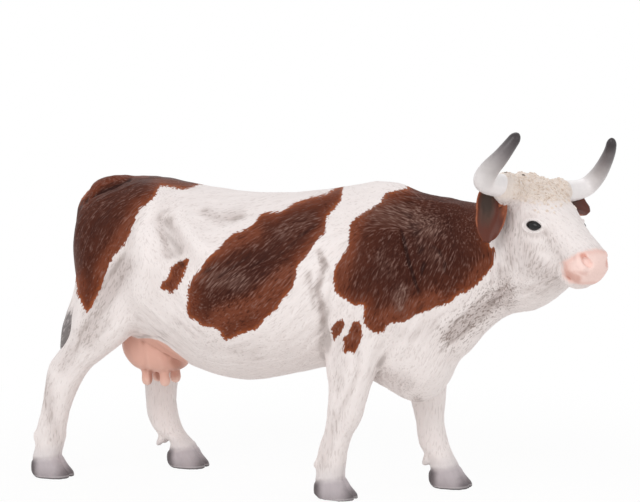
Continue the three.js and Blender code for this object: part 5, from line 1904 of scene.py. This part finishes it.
class CowMakeEars(Operator):
    """Shapes both ears as cupped leaves"""

    bl_idname = "cow.make_ears"
    bl_label = "Ears"

    def execute(self, context):
        material = ear_paint(context.scene.cow_paints)
        for word, side in SIDES.items():
            ear = ear_leaf(side, context.scene.cow_ears)
            finish_piece("ear_" + word + "_skin", ear, material, ["ear_" + word])
        return {"FINISHED"}


class CowMakeEyes(Operator):
    """Seats both eyes in the head"""

    bl_idname = "cow.make_eyes"
    bl_label = "Eyes"

    def execute(self, context):
        material = eye_paint(context.scene.cow_paints)
        head = bpy.data.objects["head_skin"]
        for word, side in SIDES.items():
            ball = eyeball(side, head, context.scene.cow_eyes)
            finish_piece("eye_" + word, ball, material)
        return {"FINISHED"}


class CowMakeCurls(Operator):
    """Strews the curls over the poll"""

    bl_idname = "cow.make_curls"
    bl_label = "Curls"

    def execute(self, context):
        sizes = context.scene.cow_curls
        material = curl_paint(context.scene.cow_paints)
        scalp = bpy.data.objects["head_skin"].data.copy()
        points = points_of(scalp) / MM - DATUM
        level = to_level(points)
        lean = level[:, 0] * SCALP_LEAN + level[:, 2]
        aside = abs(level[:, 1] - SCALP_MIDDLE) - SCALP_HALF
        strength = smooth_step(*SCALP_EDGE, lean) * smooth_step(1.2, 0, aside)
        strength *= smooth_step(*SCALP_BACK, level[:, 0]) * smooth_step(*SCALP_FRONT, level[:, 0])
        write_field(scalp, "curls", strength)
        obj = add_object("scalp", scalp)
        strew = obj.modifiers.new("Curls", "NODES")
        strew.node_group = curl_tree()
        given = {
            "Spacing": sizes.spacing,
            "Curl size": sizes.size,
            "Strand": sizes.strand,
            "Seed": sizes.seed,
            "Finish": material,
        }
        set_inputs(strew, given)
        finish_piece("poll_curls", closed_up(settled(obj)), material)
        return {"FINISHED"}


class CowMakeStage(Operator):
    """Sets the pale floor, the soft light and the camera"""

    bl_idname = "cow.make_stage"
    bl_label = "Stage"

    def execute(self, context):
        scene = context.scene
        back, right, up = view_axes()
        lens = bpy.data.cameras.new("camera")
        lens.lens = VIEW_LENS
        lens.sensor_width = 36
        lens.clip_end = 10
        camera = bpy.data.objects.new("camera", lens)
        axes = Matrix((right, up, back)).transposed().to_4x4()
        axes.translation = Vector((VIEW_AIM + back * VIEW_DISTANCE + DATUM) * MM)
        camera.matrix_world = axes
        scene.collection.objects.link(camera)
        scene.camera = camera

        bm = bmesh.new()
        bmesh.ops.create_circle(bm, cap_ends=True, segments=96, radius=FLOOR_RADIUS)
        mesh = bpy.data.meshes.new("floor")
        bm.to_mesh(mesh)
        bm.free()
        floor = add_object("floor", mesh)
        floor.data.materials.append(floor_paint())

        world = bpy.data.worlds.new("studio")
        scene.world = world
        world.use_nodes = True
        tree = world.node_tree
        tree.nodes.clear()
        shown = {"Value": seen_rays(tree), "To Min": AMBIENT, "To Max": 1.0}
        strength = node(tree, "ShaderNodeMapRange", shown).outputs["Result"]
        sky = node(tree, "ShaderNodeBackground", {"Color": (1, 1, 1, 1), "Strength": strength}).outputs[0]
        node(tree, "ShaderNodeOutputWorld", {"Surface": sky})

        for name, turn, rise, distance, size, watts in LAMPS:
            data = bpy.data.lights.new(name, "AREA")
            data.shape = "DISK"
            data.size = size
            data.energy = watts
            lamp = bpy.data.objects.new(name, data)
            a, e = math.radians(turn), math.radians(rise)
            way = Vector((math.sin(a) * math.cos(e), -math.cos(a) * math.cos(e), math.sin(e)))
            lamp.location = way * distance + Vector((0, 0, LAMP_AIM_HEIGHT))
            lamp.rotation_euler = way.to_track_quat("Z", "Y").to_euler()
            scene.collection.objects.link(lamp)
        scene.view_settings.view_transform = "Standard"
        return {"FINISHED"}


class CowPanel(Panel):
    """Lists the cow's sizes, colours and steps"""

    bl_idname = "VIEW3D_PT_cow"
    bl_label = "Painted cow"
    bl_space_type = "VIEW_3D"
    bl_region_type = "UI"
    bl_category = "Cow"

    def draw(self, context):
        for name in SETTINGS:
            group = getattr(context.scene, name)
            box = self.layout.box()
            for key in group.__annotations__:
                box.prop(group, key)
        for step in STEPS:
            self.layout.operator(step.bl_idname)


SETTINGS = {
    "cow_skin": CowSkinSizes,
    "cow_horns": CowHornSizes,
    "cow_ears": CowEarSizes,
    "cow_eyes": CowEyeSizes,
    "cow_curls": CowCurlSizes,
    "cow_paints": CowPaints,
}
STEPS = [CowMakeBody, CowMakeHorns, CowMakeEars, CowMakeEyes, CowMakeCurls, CowMakeStage]


def register():
    for name, group in SETTINGS.items():
        bpy.utils.register_class(group)
        setattr(bpy.types.Scene, name, PointerProperty(type=group))
    for kind in (*STEPS, CowPanel):
        bpy.utils.register_class(kind)


def unregister():
    for kind in reversed((*STEPS, CowPanel)):
        bpy.utils.unregister_class(kind)
    for name, group in SETTINGS.items():
        delattr(bpy.types.Scene, name)
        bpy.utils.unregister_class(group)


def main():
    register()
    for step in STEPS:
        group, name = step.bl_idname.split(".")
        getattr(getattr(bpy.ops, group), name)()


if __name__ == "__main__":
    main()
